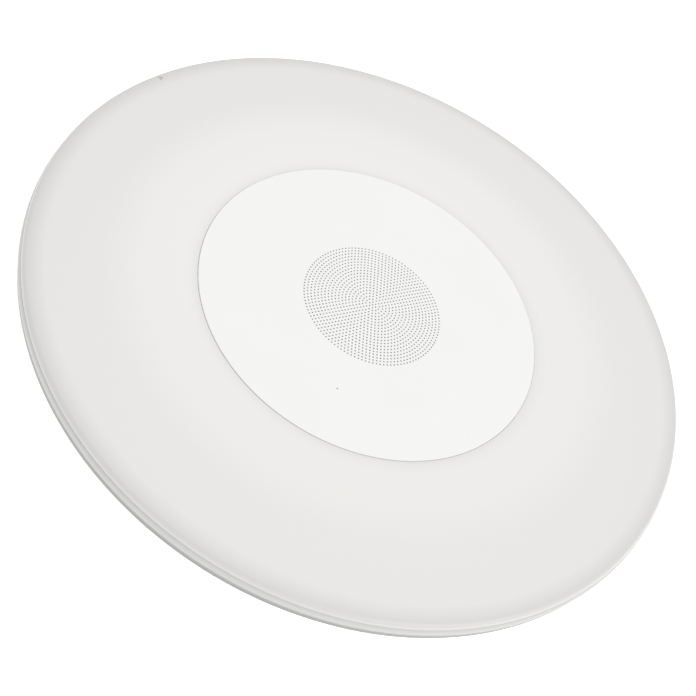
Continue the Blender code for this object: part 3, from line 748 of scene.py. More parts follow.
def soften(made, width, segments=2):
    """Rounds a piece's sharp edges."""
    modifier = made.modifiers.new("edges", "BEVEL")
    modifier.width = width
    modifier.segments = segments
    modifier.limit_method = "ANGLE"
    modifier.angle_limit = math.radians(40)


def even_shading():
    """Keeps the shading of flat faces flat beside their rounded edges, on every piece."""
    for made in bpy.data.objects:
        if made.type == "MESH" and made.name not in frame["nodes"]:
            made.modifiers.new("shading", "WEIGHTED_NORMAL").keep_sharp = True


def through(points, steps):
    """Points along a smooth curve that passes through each of the given ones."""
    ends = [Vector(p) for p in points]
    ends = [ends[0] * 2 - ends[1], *ends, ends[-1] * 2 - ends[-2]]
    route = []
    for a, b, c, d in zip(ends, ends[1:], ends[2:], ends[3:]):
        for step in range(steps):
            t = step / steps
            bend = (2 * a - 5 * b + 4 * c - d) * t**2 + (3 * b - a - 3 * c + d) * t**3
            route.append((2 * b + (c - a) * t + bend) / 2)
    return [*route, ends[-2]]


# ---------------------------------------------------------------- cover


def diffuser_outside():
    """(radius, height) of the diffuser's room side, from under the panel's edge to the seam."""
    crown, bend = sizes().crown, sizes().shoulder
    edge, low, seam, end = PANEL_RADIUS + 0.05 * MM, -0.45 * MM, 238.4 * MM, 2.2 * MM
    points = [
        (115 * MM, -2.3 * MM),
        (edge, -2.3 * MM),
        *arc((edge + 0.5 * MM, low - 0.5 * MM), 0.5 * MM, 180, 90, 4),
    ]
    start, full, fall, steps = points[-1][0], 190 * MM, 222 * MM, 24
    for share in (step / steps for step in range(1, steps + 1)):
        rise = (crown - low) * math.sin(math.pi / 2 * share)
        points.append((start + (full - start) * share, low + rise))
    for share in (step / 8 for step in range(8)):
        radius = fall + (seam - bend - fall) * share
        points.append((radius, crown + (end - crown) * share**2))
    points += arc((seam - bend, end - bend), bend, 84, 0, 10)
    points += [(seam, -2.0 * MM), (seam - 0.2 * MM, -2.2 * MM)]
    return [(radius, FACE_Z + height) for radius, height in points]


def diffuser_height(radius):
    """Height of the diffuser's room side at a radius."""
    outside = diffuser_outside()
    spans = zip(outside, outside[1:])
    (r0, z0), (r1, z1) = next(span for span in spans if span[0][0] <= radius < span[1][0])
    return z0 + (z1 - z0) * (radius - r0) / (r1 - r0)


class LIGHT_OT_diffuser(bpy.types.Operator):
    """Builds the opal ring, with a gentle crown and a tight outer shoulder"""

    bl_idname = "light.diffuser"
    bl_label = "Diffuser"

    def execute(self, context):
        wall = 2 * MM
        outside = diffuser_outside()
        seam_r, seam_z = outside[-1]
        inside = [(radius, height - wall) for radius, height in outside if radius < seam_r - 6 * MM]
        inside += arc((seam_r - 5.8 * MM, seam_z + 0.8 * MM), 0.8 * MM, 90, 0, 3)
        inside += [(seam_r - 4 * MM, seam_z - 2 * MM), (seam_r - 1.8 * MM, seam_z - 2 * MM)]
        inside += [(seam_r - 1.8 * MM, seam_z)]
        data = turned([*outside, *reversed(inside)], FINE)
        piece("opal_ring", data, opal_acrylic(), "cover", "diffuser", 50)
        return {"FINISHED"}


class LIGHT_OT_rim(bpy.types.Operator):
    """Builds the rim ring with its round nose and skirt, and the pointer printed beside it"""

    bl_idname = "light.rim"
    bl_label = "Rim"

    def execute(self, context):
        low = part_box("rim_ring")[0]
        bead, seat, under = sizes().bead, FACE_Z - 2.2 * MM, FACE_Z - 12.3 * MM
        skirt_in, wall, groove = 229.5 * MM, 2 * MM, 234.1 * MM
        nose = (LAMP_RADIUS - bead, seat - bead * math.sin(math.radians(45)))
        outline = arc((skirt_in + wall / 2, low.z + wall / 2), wall / 2, 180, 360, 6)
        outline += arc((skirt_in + wall + 1.0 * MM, under - 1.0 * MM), 1.0 * MM, 180, 90, 4)
        outline += arc((LAMP_RADIUS - 1.5 * MM, under + 0.8 * MM), 0.8 * MM, -90, -5, 5)
        outline += arc(nose, bead, -14, 45, 12)
        lip, foot = groove + 2 * MM, seat - 2.1 * MM
        outline += [(lip, seat), (lip, foot), (groove, foot), (groove, seat - 1 * MM)]
        outline += [(skirt_in, seat - 1 * MM)]
        data = turned(outline, FINE)
        for side in range(0, 360, 45):
            window = block((0.6 * MM, 12 * MM, 3 * MM), 0.25 * MM, 1)
            put(data, window, round_axis(skirt_in - 0.2 * MM, side + 22.5, low.z + 3 * MM))
        piece("rim_bead", data, rim_plastic(), "cover", "rim_ring", 40)
        self.print_pointer()
        return {"FINISHED"}

    def print_pointer(self):
        """A small triangle laid on the diffuser near its shoulder."""
        place = round_axis(233 * MM, 153.4) @ Matrix.Rotation(math.radians(-33), 4, "Z")
        half, reach, steps = 2.4 * MM, 4 * MM, 6
        data = bmesh.new()
        rows = []
        for share in (step / steps for step in range(steps + 1)):
            width = half * max(share, 0.04)
            spots = [place @ Vector(((share - 0.5) * reach, width * side, 0)) for side in (-1, 0, 1)]
            for spot in spots:
                spot.z = diffuser_height(spot.xy.length) + 0.03 * MM
            rows.append([data.verts.new(spot) for spot in spots])
        for near, far in zip(rows, rows[1:]):
            for side in (0, 1):
                data.faces.new((near[side], far[side], far[side + 1], near[side + 1]))
        face_out(data)
        made = piece("pointer_mark", data, pad_ink(), "cover")
        thicken(made, 0.02 * MM)


class LIGHT_OT_centre_panel(bpy.types.Operator):
    """Builds the flat centre panel with its rings of small holes, its bosses and the receiver window"""

    bl_idname = "light.centre_panel"
    bl_label = "Centre panel"

    def execute(self, context):
        size = sizes()
        data = bmesh.new()
        rim = loop(data, round_outline((0, 0), PANEL_RADIUS - 1.5 * MM, FINE), FACE_Z)
        holes = [loop(data, round_outline(WINDOW_AT, 0.64 * MM, 16), FACE_Z)]
        for ring in range(size.hole_rings + 1):
            for step in range(max(1, 6 * ring)):
                turn = math.degrees(size.hole_turn) + (60 * step / ring if ring else 0)
                spot = on_circle(ring * size.hole_pitch, turn)
                holes.append(loop(data, round_outline(spot, size.hole_radius, 10), FACE_Z))
        fill(data, [rim, *holes])
        edge = [(PANEL_RADIUS - 0.4 * MM, FACE_Z), (PANEL_RADIUS - 0.15 * MM, FACE_Z - 0.08 * MM)]
        grow(data, rim, [*edge, (PANEL_RADIUS, FACE_Z - 0.4 * MM)])
        deepen(data, PANEL_UNDER)
        for side in BOSS_ANGLES:
            boss = soft_ring(1.3 * MM, 3 * MM, 60.9 * MM, PANEL_UNDER, 0.2 * MM, 24)
            put(data, boss, round_axis(BOSS_CIRCLE, side))
        put(data, soft_ring(1.3 * MM, 3.4 * MM, 55 * MM, PANEL_UNDER, 0.2 * MM, 24), at(*WINDOW_AT))
        piece("perforated_panel", data, panel_plastic(), "cover", "front_panel", 30)
        return {"FINISHED"}


class LIGHT_OT_cover_fixings(bpy.types.Operator):
    """Builds the clamp ring, its screws, the cloth behind the holes and the receiver's light pipe"""

    bl_idname = "light.cover_fixings"
    bl_label = "Cover fixings"

    def execute(self, context):
        low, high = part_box("panel_clamp")
        holes = [round_outline(on_circle(BOSS_CIRCLE, side), 1.6 * MM, 16) for side in BOSS_ANGLES]
        sides = range(60, 420, 60)
        reliefs = [slot_outline(on_circle(113 * MM, side), 14 * MM, 4 * MM, side + 90) for side in sides]
        outlines = [round_outline((0, 0), 121 * MM, FINE), round_outline((0, 0), 105 * MM, FINE)]
        data = plate([*outlines, *holes, *reliefs], low.z, high.z, 0.25 * MM)
        piece("clamp_ring", data, powder_coat(), "cover", "panel_clamp")

        screws = bmesh.new()
        upside_down = Matrix.Rotation(math.pi, 4, "X")
        for side in BOSS_ANGLES:
            screw = cross_screw(2.6 * MM, 1.6 * MM, 1.2 * MM, 5 * MM)
            put(screws, screw, round_axis(BOSS_CIRCLE, side, low.z) @ upside_down)
        nodes = [f"panel_screw_{number}" for number in (1, 2, 3)]
        piece("panel_screws", screws, zinc_plate(), "cover", nodes)

        low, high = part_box("grille_cloth")
        cloth = soft_post(high.x, low.z, high.z, 0.15 * MM, MIDDLING)
        weft = woven("polyester_grille_cloth", "2C2C2E", 0.6 * MM, 0.15 * MM, 0.5)
        piece("acoustic_cloth", cloth, weft, "cover", "grille_cloth")

        low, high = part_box("light_pipe")
        neck, step = 0.58 * MM, PANEL_UNDER - 0.3 * MM
        dome = [(neck, 0.3 * MM), (0.46 * MM, 0.14 * MM), (0.24 * MM, 0.06 * MM), (0, 0.04 * MM)]
        pipe = [(0, low.z), *arc((0.7 * MM, low.z + 0.3 * MM), 0.3 * MM, -90, 0, 3)]
        pipe += [(1 * MM, step), (neck, PANEL_UNDER)]
        pipe += [(radius, FACE_Z - depth) for radius, depth in dome]
        data = moved(turned(pipe, 20), at(*WINDOW_AT))
        piece("receiver_light_pipe", data, clear_acrylic(), "cover", "light_pipe")
        return {"FINISHED"}


# ---------------------------------------------------------------- ceiling side


def keyhole(side):
    """(x, y) outline of a keyhole: a slot along the stud circle that ends in a hole for a stud's head."""
    slot, head, lock = 2.6 * MM, 5 * MM, STUD_CIRCLE * math.radians(15)
    meet = math.degrees(math.asin(slot / head))
    path = [*arc((0, 0), slot, 90, 270, 8), *arc((lock, 0), head, 180 + meet, 540 - meet, 24)]
    return [on_circle(STUD_CIRCLE + out, side + math.degrees(along / STUD_CIRCLE)) for along, out in path]


class LIGHT_OT_pan(bpy.types.Operator):
    """Builds the pressed pan with its keyholes, its cable hole and its grommet"""

    bl_idname = "light.pan"
    bl_label = "Pan"

    def execute(self, context):
        recess, floor, flange = RECESS_TOP, FLOOR_TOP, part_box("base_pan")[1].z
        data = bmesh.new()
        middle = loop(data, round_outline((0, 0), 69.6 * MM, FINE), recess)
        fill(data, [middle, *(loop(data, keyhole(side), recess) for side in STUD_ANGLES)])
        step = arc((69.6 * MM, recess - 1.6 * MM), 1.6 * MM, 78, 28, 4)
        step += arc((76.0 * MM, floor + 1.6 * MM), 1.6 * MM, 208, 270, 5)
        grow(data, middle, step)
        inner = loop(data, round_outline((0, 0), 76 * MM, FINE), floor)
        outer = loop(data, round_outline((0, 0), 175 * MM, FINE), floor)
        cable = loop(data, round_outline(GROMMET_AT, 9 * MM, 40), floor)
        fill(data, [outer, inner, cable])
        wall = [*arc((175 * MM, floor + 3 * MM), 3 * MM, -80, -38, 4)]
        wall += [*arc((209.5 * MM, flange - 3 * MM), 3 * MM, 142, 90, 5), (222.6 * MM, flange)]
        grow(data, outer, wall)
        bmesh.ops.remove_doubles(data, verts=data.verts[:], dist=2e-6)
        face_up(data)
        pan = piece("pressed_pan", data, powder_coat(), "base", "base_pan", 40)
        thicken(pan, SHEET)
        soften(pan, 0.25 * MM, 2)
        self.make_grommet()
        self.make_seal()
        return {"FINISHED"}

    def make_grommet(self):
        low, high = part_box("cable_grommet")
        lip, neck, bore, edge = 11.4 * MM, 8.6 * MM, 6 * MM, 0.7 * MM
        under, over = FLOOR_TOP - SHEET - 0.2 * MM, FLOOR_TOP + 0.2 * MM
        outline = arc((bore + edge, low.z + edge), edge, 180, 270, 4)
        outline += arc((lip - edge, low.z + edge), edge, -90, 0, 4)
        outline += [(lip, under), (neck, under), (neck, over), (lip, over)]
        outline += arc((lip - edge, high.z - edge), edge, 0, 90, 4)
        outline += arc((bore + edge, high.z - edge), edge, 90, 180, 4)
        data = moved(turned(outline, 48), at(*GROMMET_AT))
        piece("cable_bush", data, rubber(), "base", "cable_grommet")

    def make_seal(self):
        low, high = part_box("ceiling_seal")
        data = soft_ring(160 * MM, 174 * MM, low.z, high.z, 0.7 * MM, FINE)
        finish = foam("grey_pu_foam", "9A9B9C", 1.1 * MM)
        piece("foam_seal", data, finish, "base", "ceiling_seal")


class LIGHT_OT_bracket(bpy.types.Operator):
    """Builds the ceiling plate with its slots and the three shoulder studs"""

    bl_idname = "light.bracket"
    bl_label = "Bracket"

    def execute(self, context):
        low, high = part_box("mounting_plate")
        outlines = [round_outline((0, 0), high.x, FINE), round_outline((0, 0), 20 * MM, MIDDLING)]
        for side in (0, 90, 180, 270):
            outlines.append(slot_outline(on_circle(42 * MM, side), 17 * MM, 5 * MM, side + 90))
            outlines.append(round_outline(on_circle(52 * MM, side + 45), 2.5 * MM, 20))
            outlines.append(round_outline(on_circle(32 * MM, side + 45), 1.6 * MM, 16))
        data = plate(outlines, low.z, high.z, 0.25 * MM)
        piece("ceiling_plate", data, zinc_plate(), "bracket", "mounting_plate")
        for number, side in enumerate(STUD_ANGLES, 1):
            self.make_stud(number, side)
        return {"FINISHED"}

    def make_stud(self, number, side):
        node = f"bracket_stud_{number}"
        low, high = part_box(node)
        shoulder, neck_top = RECESS_TOP - SHEET - 0.3 * MM, RECESS_TOP + 0.3 * MM
        body, neck, head, edge = 3.4 * MM, 2 * MM, 4 * MM, 0.3 * MM
        outline = [(0, low.z), (body - 0.2 * MM, low.z), (body, low.z + 0.2 * MM)]
        outline += [(body, shoulder - edge), (body - edge, shoulder), (neck, shoulder)]
        outline += [(neck, neck_top), (head - edge, neck_top)]
        outline += arc((head - 1 * MM, high.z - 1.2 * MM), 1 * MM, -20, 75, 6)
        outline += [(1.2 * MM, high.z), (0, high.z)]
        data = moved(turned(outline, 32), round_axis(STUD_CIRCLE, side))
        piece(f"shoulder_stud_{number}", data, zinc_plate(), "bracket", node)


class LIGHT_OT_clips(bpy.types.Operator):
    """Builds the four bent spring leaves, each with its rivets"""

    bl_idname = "light.clips"
    bl_label = "Clips"

    def execute(self, context):
        bends = [(211, 42.5), (217, 42.5), (222.8, 42.5), (225.1, 43.3), (226.2, 45.2), (227.3, 47.4)]
        bends += [(227.6, 48.6), (227.3, 49.7), (226.4, 51.5), (225.5, 53.1), (224.9, 54.0)]
        path = through([(x * MM, z * MM) for x, z in bends], 3)
        for number, side in enumerate((0, 90, 180, 270), 1):
            data = bmesh.new()
            leaf = strip(path, 0.5 * MM, 14 * MM, 0.12 * MM)
            put(data, leaf, round_axis(0, side))
            for across in (-4, 4):
                rivet = turned([(0, 0), *arc((0, 0), 2.3 * MM, 0, 80, 5), (0, 2.3 * MM)], 16)
                bmesh.ops.scale(rivet, vec=(1, 1, 0.55), verts=rivet.verts[:])
                spot = round_axis(214 * MM, side, 43.0 * MM) @ Matrix.Translation((0, across * MM, 0))
                put(data, rivet, spot, 1)
            finishes = [spring_steel(), zinc_plate()]
            piece(f"spring_leaf_{number}", data, finishes, "base", f"cover_clip_{number}")
        return {"FINISHED"}


# ---------------------------------------------------------------- electrics


def chip(wide, deep, tall, legs, pitch):
    """A moulded chip with bent legs along two sides, in the finishes 1 (body) and 2 (legs)."""
    data = bmesh.new()
    put(data, block((wide, deep, tall), 0.12 * MM, 1), at(0, 0, 0.15 * MM), 1)
    for side in (-1, 1):
        for leg in range(legs):
            along = (leg - (legs - 1) / 2) * pitch
            foot = block((0.45 * pitch, 1.5 * MM, 0.2 * MM), 0.04 * MM, 1)
            put(data, foot, at(along, side * (deep / 2 + 0.5 * MM)), 2)
    return data


def can_capacitor(radius, tall):
    """An upright electrolytic can with a crimped neck, in the finishes 1 (base) and 2 (can)."""
    data = bmesh.new()
    put(data, soft_post(1.06 * radius, 0, 0.12 * tall, 0.2 * MM, 20), None, 1)
    neck = [(0, 0.1 * tall), (radius, 0.1 * tall), (radius, 0.16 * tall), (0.93 * radius, 0.2 * tall)]
    neck.append((radius, 0.25 * tall))
    neck += [*arc((0.86 * radius, 0.94 * tall), 0.14 * radius, 0, 90, 3), (0, tall)]
    put(data, turned(neck, 24), None, 2)
    return data


def socket(wide, deep, tall):
    """A wire-to-board connector with a stepped housing, in the finish 3."""
    data = bmesh.new()
    put(data, block((wide, deep, 0.75 * tall), 0.3 * MM), None, 3)
    put(data, block((0.8 * wide, 0.55 * deep, tall), 0.3 * MM), None, 3)
    return data


def place_each(data, make, spots, height):
    """Puts a fresh copy of a shape, with the finishes it already has, at each (x, y, turn)."""
    for x, y, turn in spots:
        join(data, moved(make(), at(x * MM, y * MM, height, turn)))


def board_finishes():
    return [
        solder_mask("green_solder_mask", "1E5B3B", 1.5),
        dark_plastic("black_epoxy_moulded", "1B1B1D", 0.5, 0.4 * MM),
        tinned_steel(),
        pale_plastic("cream_nylon_moulded", "E9E4D6"),
    ]


class LIGHT_OT_light_boards(bpy.types.Operator):
    """Builds the four curved boards with their emitters, lenses, connectors and screws"""

    bl_idname = "light.light_boards"
    bl_label = "Light boards"

    def execute(self, context):
        low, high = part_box("led_board_1")
        inner, outer, sweep, top = 130 * MM, 172 * MM, 82, high.z
        finishes = [
            solder_mask("white_solder_mask", "E9EBE6", 0.97),
            phosphor(),
            pale_plastic("white_nylon_moulded", "EDEBE4"),
            zinc_plate(),
        ]
        lens_finish = pale_plastic("frosted_pmma_lens", "EEF0F0", 0.3)
        for number, middle in enumerate((45, 135, 225, 315), 1):
            half = sweep / 2
            outline = arc((0, 0), inner, middle - half, middle + half, 40)
            outline += arc((0, 0), outer, middle + half, middle - half, 40)
            data = plate([outline], low.z, top, 0.12 * MM)
            lenses = bmesh.new()
            rows = ((141 * MM, 10), (161 * MM, 9))
            for radius, count in rows:
                for step in range(count):
                    turn = middle + (step - (count - 1) / 2) * 8.2
                    place = round_axis(radius, turn, top)
                    put(data, block((2.8 * MM, 3.5 * MM, 0.7 * MM), 0.1 * MM, 1), place, 1)
                    put(lenses, self.lens(), place)
            for radius, turn in ((151, -38.4), (151, 38.4), (141.6, 0)):
                place = round_axis(radius * MM, middle + turn, top)
                put(data, socket(5 * MM, 8 * MM, 4 * MM), place, 2)
            for turn in (middle - 24.6, middle, middle + 24.6):
                screw = cross_screw(2.6 * MM, 1.4 * MM, 1.2 * MM, 1.5 * MM)
                put(data, screw, round_axis(151 * MM, turn, top), 3)
            piece(f"light_board_{number}", data, finishes, "base", f"led_board_{number}")
            piece(f"emitter_lenses_{number}", lenses, lens_finish, "base", angle=50)
        return {"FINISHED"}

    def lens(self):
        """A batwing lens on its feet: a dome with a dimple in its middle."""
        wide = sizes().lens_radius
        outline = [(0, 1.0), (0.55, 1.0), (0.6, 0.3), (0.86, 0.3), (1, 0.9), (0.96, 2.0)]
        outline += [(0.75, 3.1), (0.42, 3.6), (0.2, 3.3), (0, 2.7)]
        return turned([(share * wide, height * MM) for share, height in outline], 16)


class LIGHT_OT_driver(bpy.types.Operator):
    """Builds the mains driver: its case, its slotted lid and the board with its components"""

    bl_idname = "light.driver"
    bl_label = "Driver"

    def execute(self, context):
        low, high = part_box("driver_case")
        x, y = DRIVER_AT
        wide, deep, tall = high - low
        case = bmesh.new()
        rim = loop(case, soft_rectangle(DRIVER_AT, wide, deep, 3 * MM), low.z)
        fill(case, [rim])
        raised = verts_in(bmesh.ops.extrude_edge_only(case, edges=rim)["geom"])
        bmesh.ops.translate(case, verts=raised, vec=(0, 0, tall))
        face_up(case, -1)
        white = pale_plastic("white_pc_moulded", "E7E7E3", 0.5)
        made = piece("driver_tray", case, white, "base", "driver_case", 40)
        thicken(made, SHEET)
        soften(made, 0.3 * MM)

        low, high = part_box("driver_lid")
        outlines = [soft_rectangle(DRIVER_AT, wide, deep, 3 * MM)]
        for step in range(-4, 5):
            outlines.append(slot_outline((x + step * 6 * MM, y), 20 * MM, 1.6 * MM, 90))
        lid = plate(outlines, low.z, high.z, 0.3 * MM)
        for side in (-1, 1):
            gland = block((1.8 * MM, 18 * MM, 8 * MM), 0.5 * MM)
            spot = (x + side * (wide / 2 + 1.0 * MM), y - 8 * MM * (side < 0), FLOOR_TOP + 2.2 * MM)
            put(lid, gland, at(*spot))
        piece("driver_vented_lid", lid, white, "base", "driver_lid")
        self.make_board()
        return {"FINISHED"}

    def make_board(self):
        low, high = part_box("driver_board")
        board = plate([soft_rectangle(DRIVER_AT, *(high - low).xy, 1 * MM)], low.z, high.z, 0.12 * MM)
        finishes = [*board_finishes(), enamelled_copper()]
        put(board, block((17 * MM, 20 * MM, 13 * MM), 0.6 * MM), at(6 * MM, 96 * MM, high.z), 1)
        coil = block((12 * MM, 24 * MM, 9 * MM), 2.5 * MM, 3)
        put(board, coil, at(6 * MM, 96 * MM, high.z + 2 * MM), 4)
        place_each(board, lambda: can_capacitor(5 * MM, 14 * MM), [(-14, 104, 0), (27, 104, 0)], high.z)
        place_each(board, lambda: can_capacitor(3.2 * MM, 10 * MM), [(27, 88, 0), (35, 90, 0)], high.z)
        place_each(board, lambda: chip(5 * MM, 4 * MM, 1.5 * MM, 4, 1.27 * MM), [(-10, 88, 0)], high.z)
        put(board, block((14 * MM, 7 * MM, 11 * MM), 0.8 * MM), at(-26 * MM, 87 * MM, high.z), 3)
        piece("driver_circuit", board, finishes, "base", "driver_board")


class LIGHT_OT_audio_board(bpy.types.Operator):
    """Builds the receiver and amplifier board, with its posts, components, screws and heatsink"""

    bl_idname = "light.audio_board"
    bl_label = "Audio board"

    def execute(self, context):
        low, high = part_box("audio_board")
        corners = [(-38 * MM, -110 * MM), (38 * MM, -80 * MM)]
        holes = [round_outline(spot, 1.6 * MM, 16) for spot in corners]
        outline = soft_rectangle(AUDIO_AT, *(high - low).xy, 1.5 * MM)
        board = plate([outline, *holes], low.z, high.z, 0.12 * MM)
        top = high.z
        place_each(board, lambda: can_capacitor(3.8 * MM, 11 * MM), [(-6, -107, 0), (4, -107, 0)], top)
        place_each(board, lambda: chip(7 * MM, 6 * MM, 1.4 * MM, 7, 0.8 * MM), [(-3, -95, 0)], top)
        small_chips = [(-16, -105, 0), (-27, -106, 90)]
        place_each(board, lambda: chip(5 * MM, 4 * MM, 1.3 * MM, 4, 1.1 * MM), small_chips, top)
        for x, y in ((-35.5, -88), (-35.5, -97)):
            put(board, block((6.4 * MM, 6.4 * MM, 3.6 * MM), 1.1 * MM, 3), at(x * MM, y * MM, top), 1)
        place_each(board, lambda: socket(6 * MM, 6.6 * MM, 5.5 * MM), [(33.6, -90, 0)], top)
        place_each(board, lambda: socket(5.6 * MM, 5 * MM, 5 * MM), [(27, -87, 0)], top)
        for step in range(14):
            spot = at((-30 + 5 * (step % 7)) * MM, (-80 - 2.6 * (step // 7)) * MM, top, 90 * (step % 2))
            if abs(spot.translation.x) > 4 * MM:
                put(board, block((1.7 * MM, 0.9 * MM, 0.6 * MM), 0.08 * MM, 1), spot, 2 - step % 2)
        piece("audio_circuit", board, board_finishes(), "base", "audio_board")

        for number, spot in enumerate(corners, 1):
            low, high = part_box(f"board_post_{number}")
            data = moved(soft_ring(1.4 * MM, 3 * MM, low.z, high.z, 0.3 * MM, 24), at(*spot))
            nylon = pale_plastic("white_nylon_post", "E6E5DE")
            piece(f"nylon_post_{number}", data, nylon, "base", f"board_post_{number}")
            screw = moved(cross_screw(2.7 * MM, 1.8 * MM, 1.2 * MM, 5 * MM), at(*spot, top))
            node = f"board_screw_{number}"
            piece(f"post_screw_{number}", screw, zinc_plate(), "base", node)
        self.make_module()
        self.make_heatsink()
        self.make_receiver()
        return {"FINISHED"}

    def make_module(self):
        """The radio module: a small board with a drawn can on it and a bare printed aerial beside."""
        low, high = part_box("wireless_module")
        middle = (low + high) / 2
        wide, deep, tall = high - low
        data = bmesh.new()
        put(data, block((wide, deep, 0.8 * MM), 0.1 * MM, 1), at(middle.x, middle.y, low.z), 1)
        can = block((0.72 * wide, 0.92 * deep, tall - 0.8 * MM), 0.5 * MM, 3)
        put(data, can, at(middle.x + 0.12 * wide, middle.y, low.z + 0.8 * MM), 0)
        for step in range(5):
            run = block((0.5 * MM, (0.8 - 0.16 * (step % 2)) * deep, 0.1 * MM), 0.03 * MM, 1)
            put(data, run, at(low.x + (0.7 + 0.85 * step) * MM, middle.y, low.z + 0.8 * MM), 2)
        finishes = [tinned_steel(), solder_mask("blue_solder_mask", "1D3F66", 1.4), zinc_plate()]
        piece("radio_module", data, finishes, "base", "wireless_module")

    def make_heatsink(self):
        """An extruded comb with five fins, each with a round tip."""
        low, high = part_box("amplifier_heatsink")
        wide, deep, tall = high - low
        middle = (low + high) / 2
        data = moved(block((wide, deep, 3 * MM), 0.3 * MM), at(middle.x, middle.y, low.z))
        for step in range(5):
            fin = block((1.5 * MM, deep, tall - 1 * MM), 0.5 * MM, 3)
            put(data, fin, at(low.x + (0.8 + 4.6 * step) * MM, middle.y, low.z + 1 * MM))
        finish = anodised_aluminium()
        piece("finned_heatsink", data, finish, "base", "amplifier_heatsink")

    def make_receiver(self):
        """The remote receiver: a chamfered epoxy body with a lens dome under the light pipe."""
        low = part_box("ir_receiver")[0]
        data = bmesh.new()
        put(data, block((6 * MM, 4.6 * MM, 6 * MM), 0.6 * MM), at(*WINDOW_AT, low.z))
        dome = turned([(0, 0), (1.8 * MM, 0), *arc((0, 0.6 * MM), 1.7 * MM, 0, 80, 6), (0, 2.3 * MM)], 24)
        put(data, dome, at(*WINDOW_AT, low.z + 5 * MM))
        glossy = dark_plastic("dark_epoxy_cast", "18141A", 0.16, 1.5 * MM)
        piece("remote_receiver", data, glossy, "base", "ir_receiver")


class LIGHT_OT_terminals(bpy.types.Operator):
    """Builds the lever terminals for the house wires"""

    bl_idname = "light.terminals"
    bl_label = "Terminals"

    def execute(self, context):
        low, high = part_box("terminal_block")
        x, y = (low.x + high.x) / 2, (low.y + high.y) / 2
        body_top, wall = 16.5 * MM, 1.2 * MM
        cell_size = (high.x - low.x, LEVER_PITCH - 0.1 * MM, body_top - low.z)
        data = bmesh.new()
        for step in (-1, 0, 1):
            cell = bmesh.new()
            bmesh.ops.create_cube(cell, size=1)
            bmesh.ops.scale(cell, vec=cell_size, verts=cell.verts[:])
            ends = [face for face in cell.faces if abs(face.normal.x) > 0.9]
            bmesh.ops.inset_individual(cell, faces=ends, thickness=2.2 * MM, depth=0)
            bmesh.ops.inset_individual(cell, faces=ends, thickness=0.7 * MM, depth=-1 * MM)
            bmesh.ops.inset_individual(cell, faces=ends, thickness=0.3 * MM, depth=-5 * MM)
            ease_edges(cell, 0.25 * MM, 2)
            put(data, cell, at(x, y + step * LEVER_PITCH, (low.z + body_top) / 2))
        for side in range(4):
            rib = block((7 * MM, wall, 7 * MM), 0.5 * MM, 2)
            put(data, rib, at(LEVER_AXIS[0] - 1 * MM, y + (side - 1.5) * LEVER_PITCH, high.z - 7 * MM))
        grey = pale_plastic("grey_polyamide_moulded", "D5D6D3")
        piece("lever_terminal_body", data, grey, "base", "terminal_block")
        for number in (1, 2, 3):
            self.make_lever(number, y + (number - 2) * LEVER_PITCH)
        return {"FINISHED"}

    def make_lever(self, number, y):
        """A curved lever with a round hub, a hollowed back and three grip ribs."""
        width = LEVER_PITCH - 1.8 * MM
        path = arc((0, 0), 1.9 * MM, -150, 150, 14)
        path += [(-6 * MM, 1.05 * MM), (-12 * MM, 1.05 * MM), (-16 * MM, 1.5 * MM)]
        path += arc((-17.4 * MM, 0.8 * MM), 0.6 * MM, 90, 270, 6)
        path += [(-12 * MM, -0.75 * MM), (-6 * MM, -0.8 * MM)]
        lever = plate([path], -width / 2, width / 2, 0.2 * MM)
        for step in range(3):
            rib = soft_post(0.35 * MM, -0.4 * width, 0.4 * width, 0.1 * MM, 10)
            put(lever, rib, Matrix.Translation(((-13.2 - 1.3 * step) * MM, (1.15 + 0.13 * step) * MM, 0)))
        upright = Matrix.Rotation(math.pi / 2, 4, "X")
        data = moved(lever, Matrix.Translation((LEVER_AXIS[0], y, LEVER_AXIS[1])) @ upright)
        cloud, texture = (8 * MM, 0.03), (0.4 * MM, 0.006 * MM)
        orange = clouded("orange_polyamide_moulded", colours().lever, 0.42, cloud, texture, IOR=1.53)
        body, node = f"lever_{number}", f"terminal_lever_{number}"
        piece(f"wire_lever_{number}", data, orange, body, node)


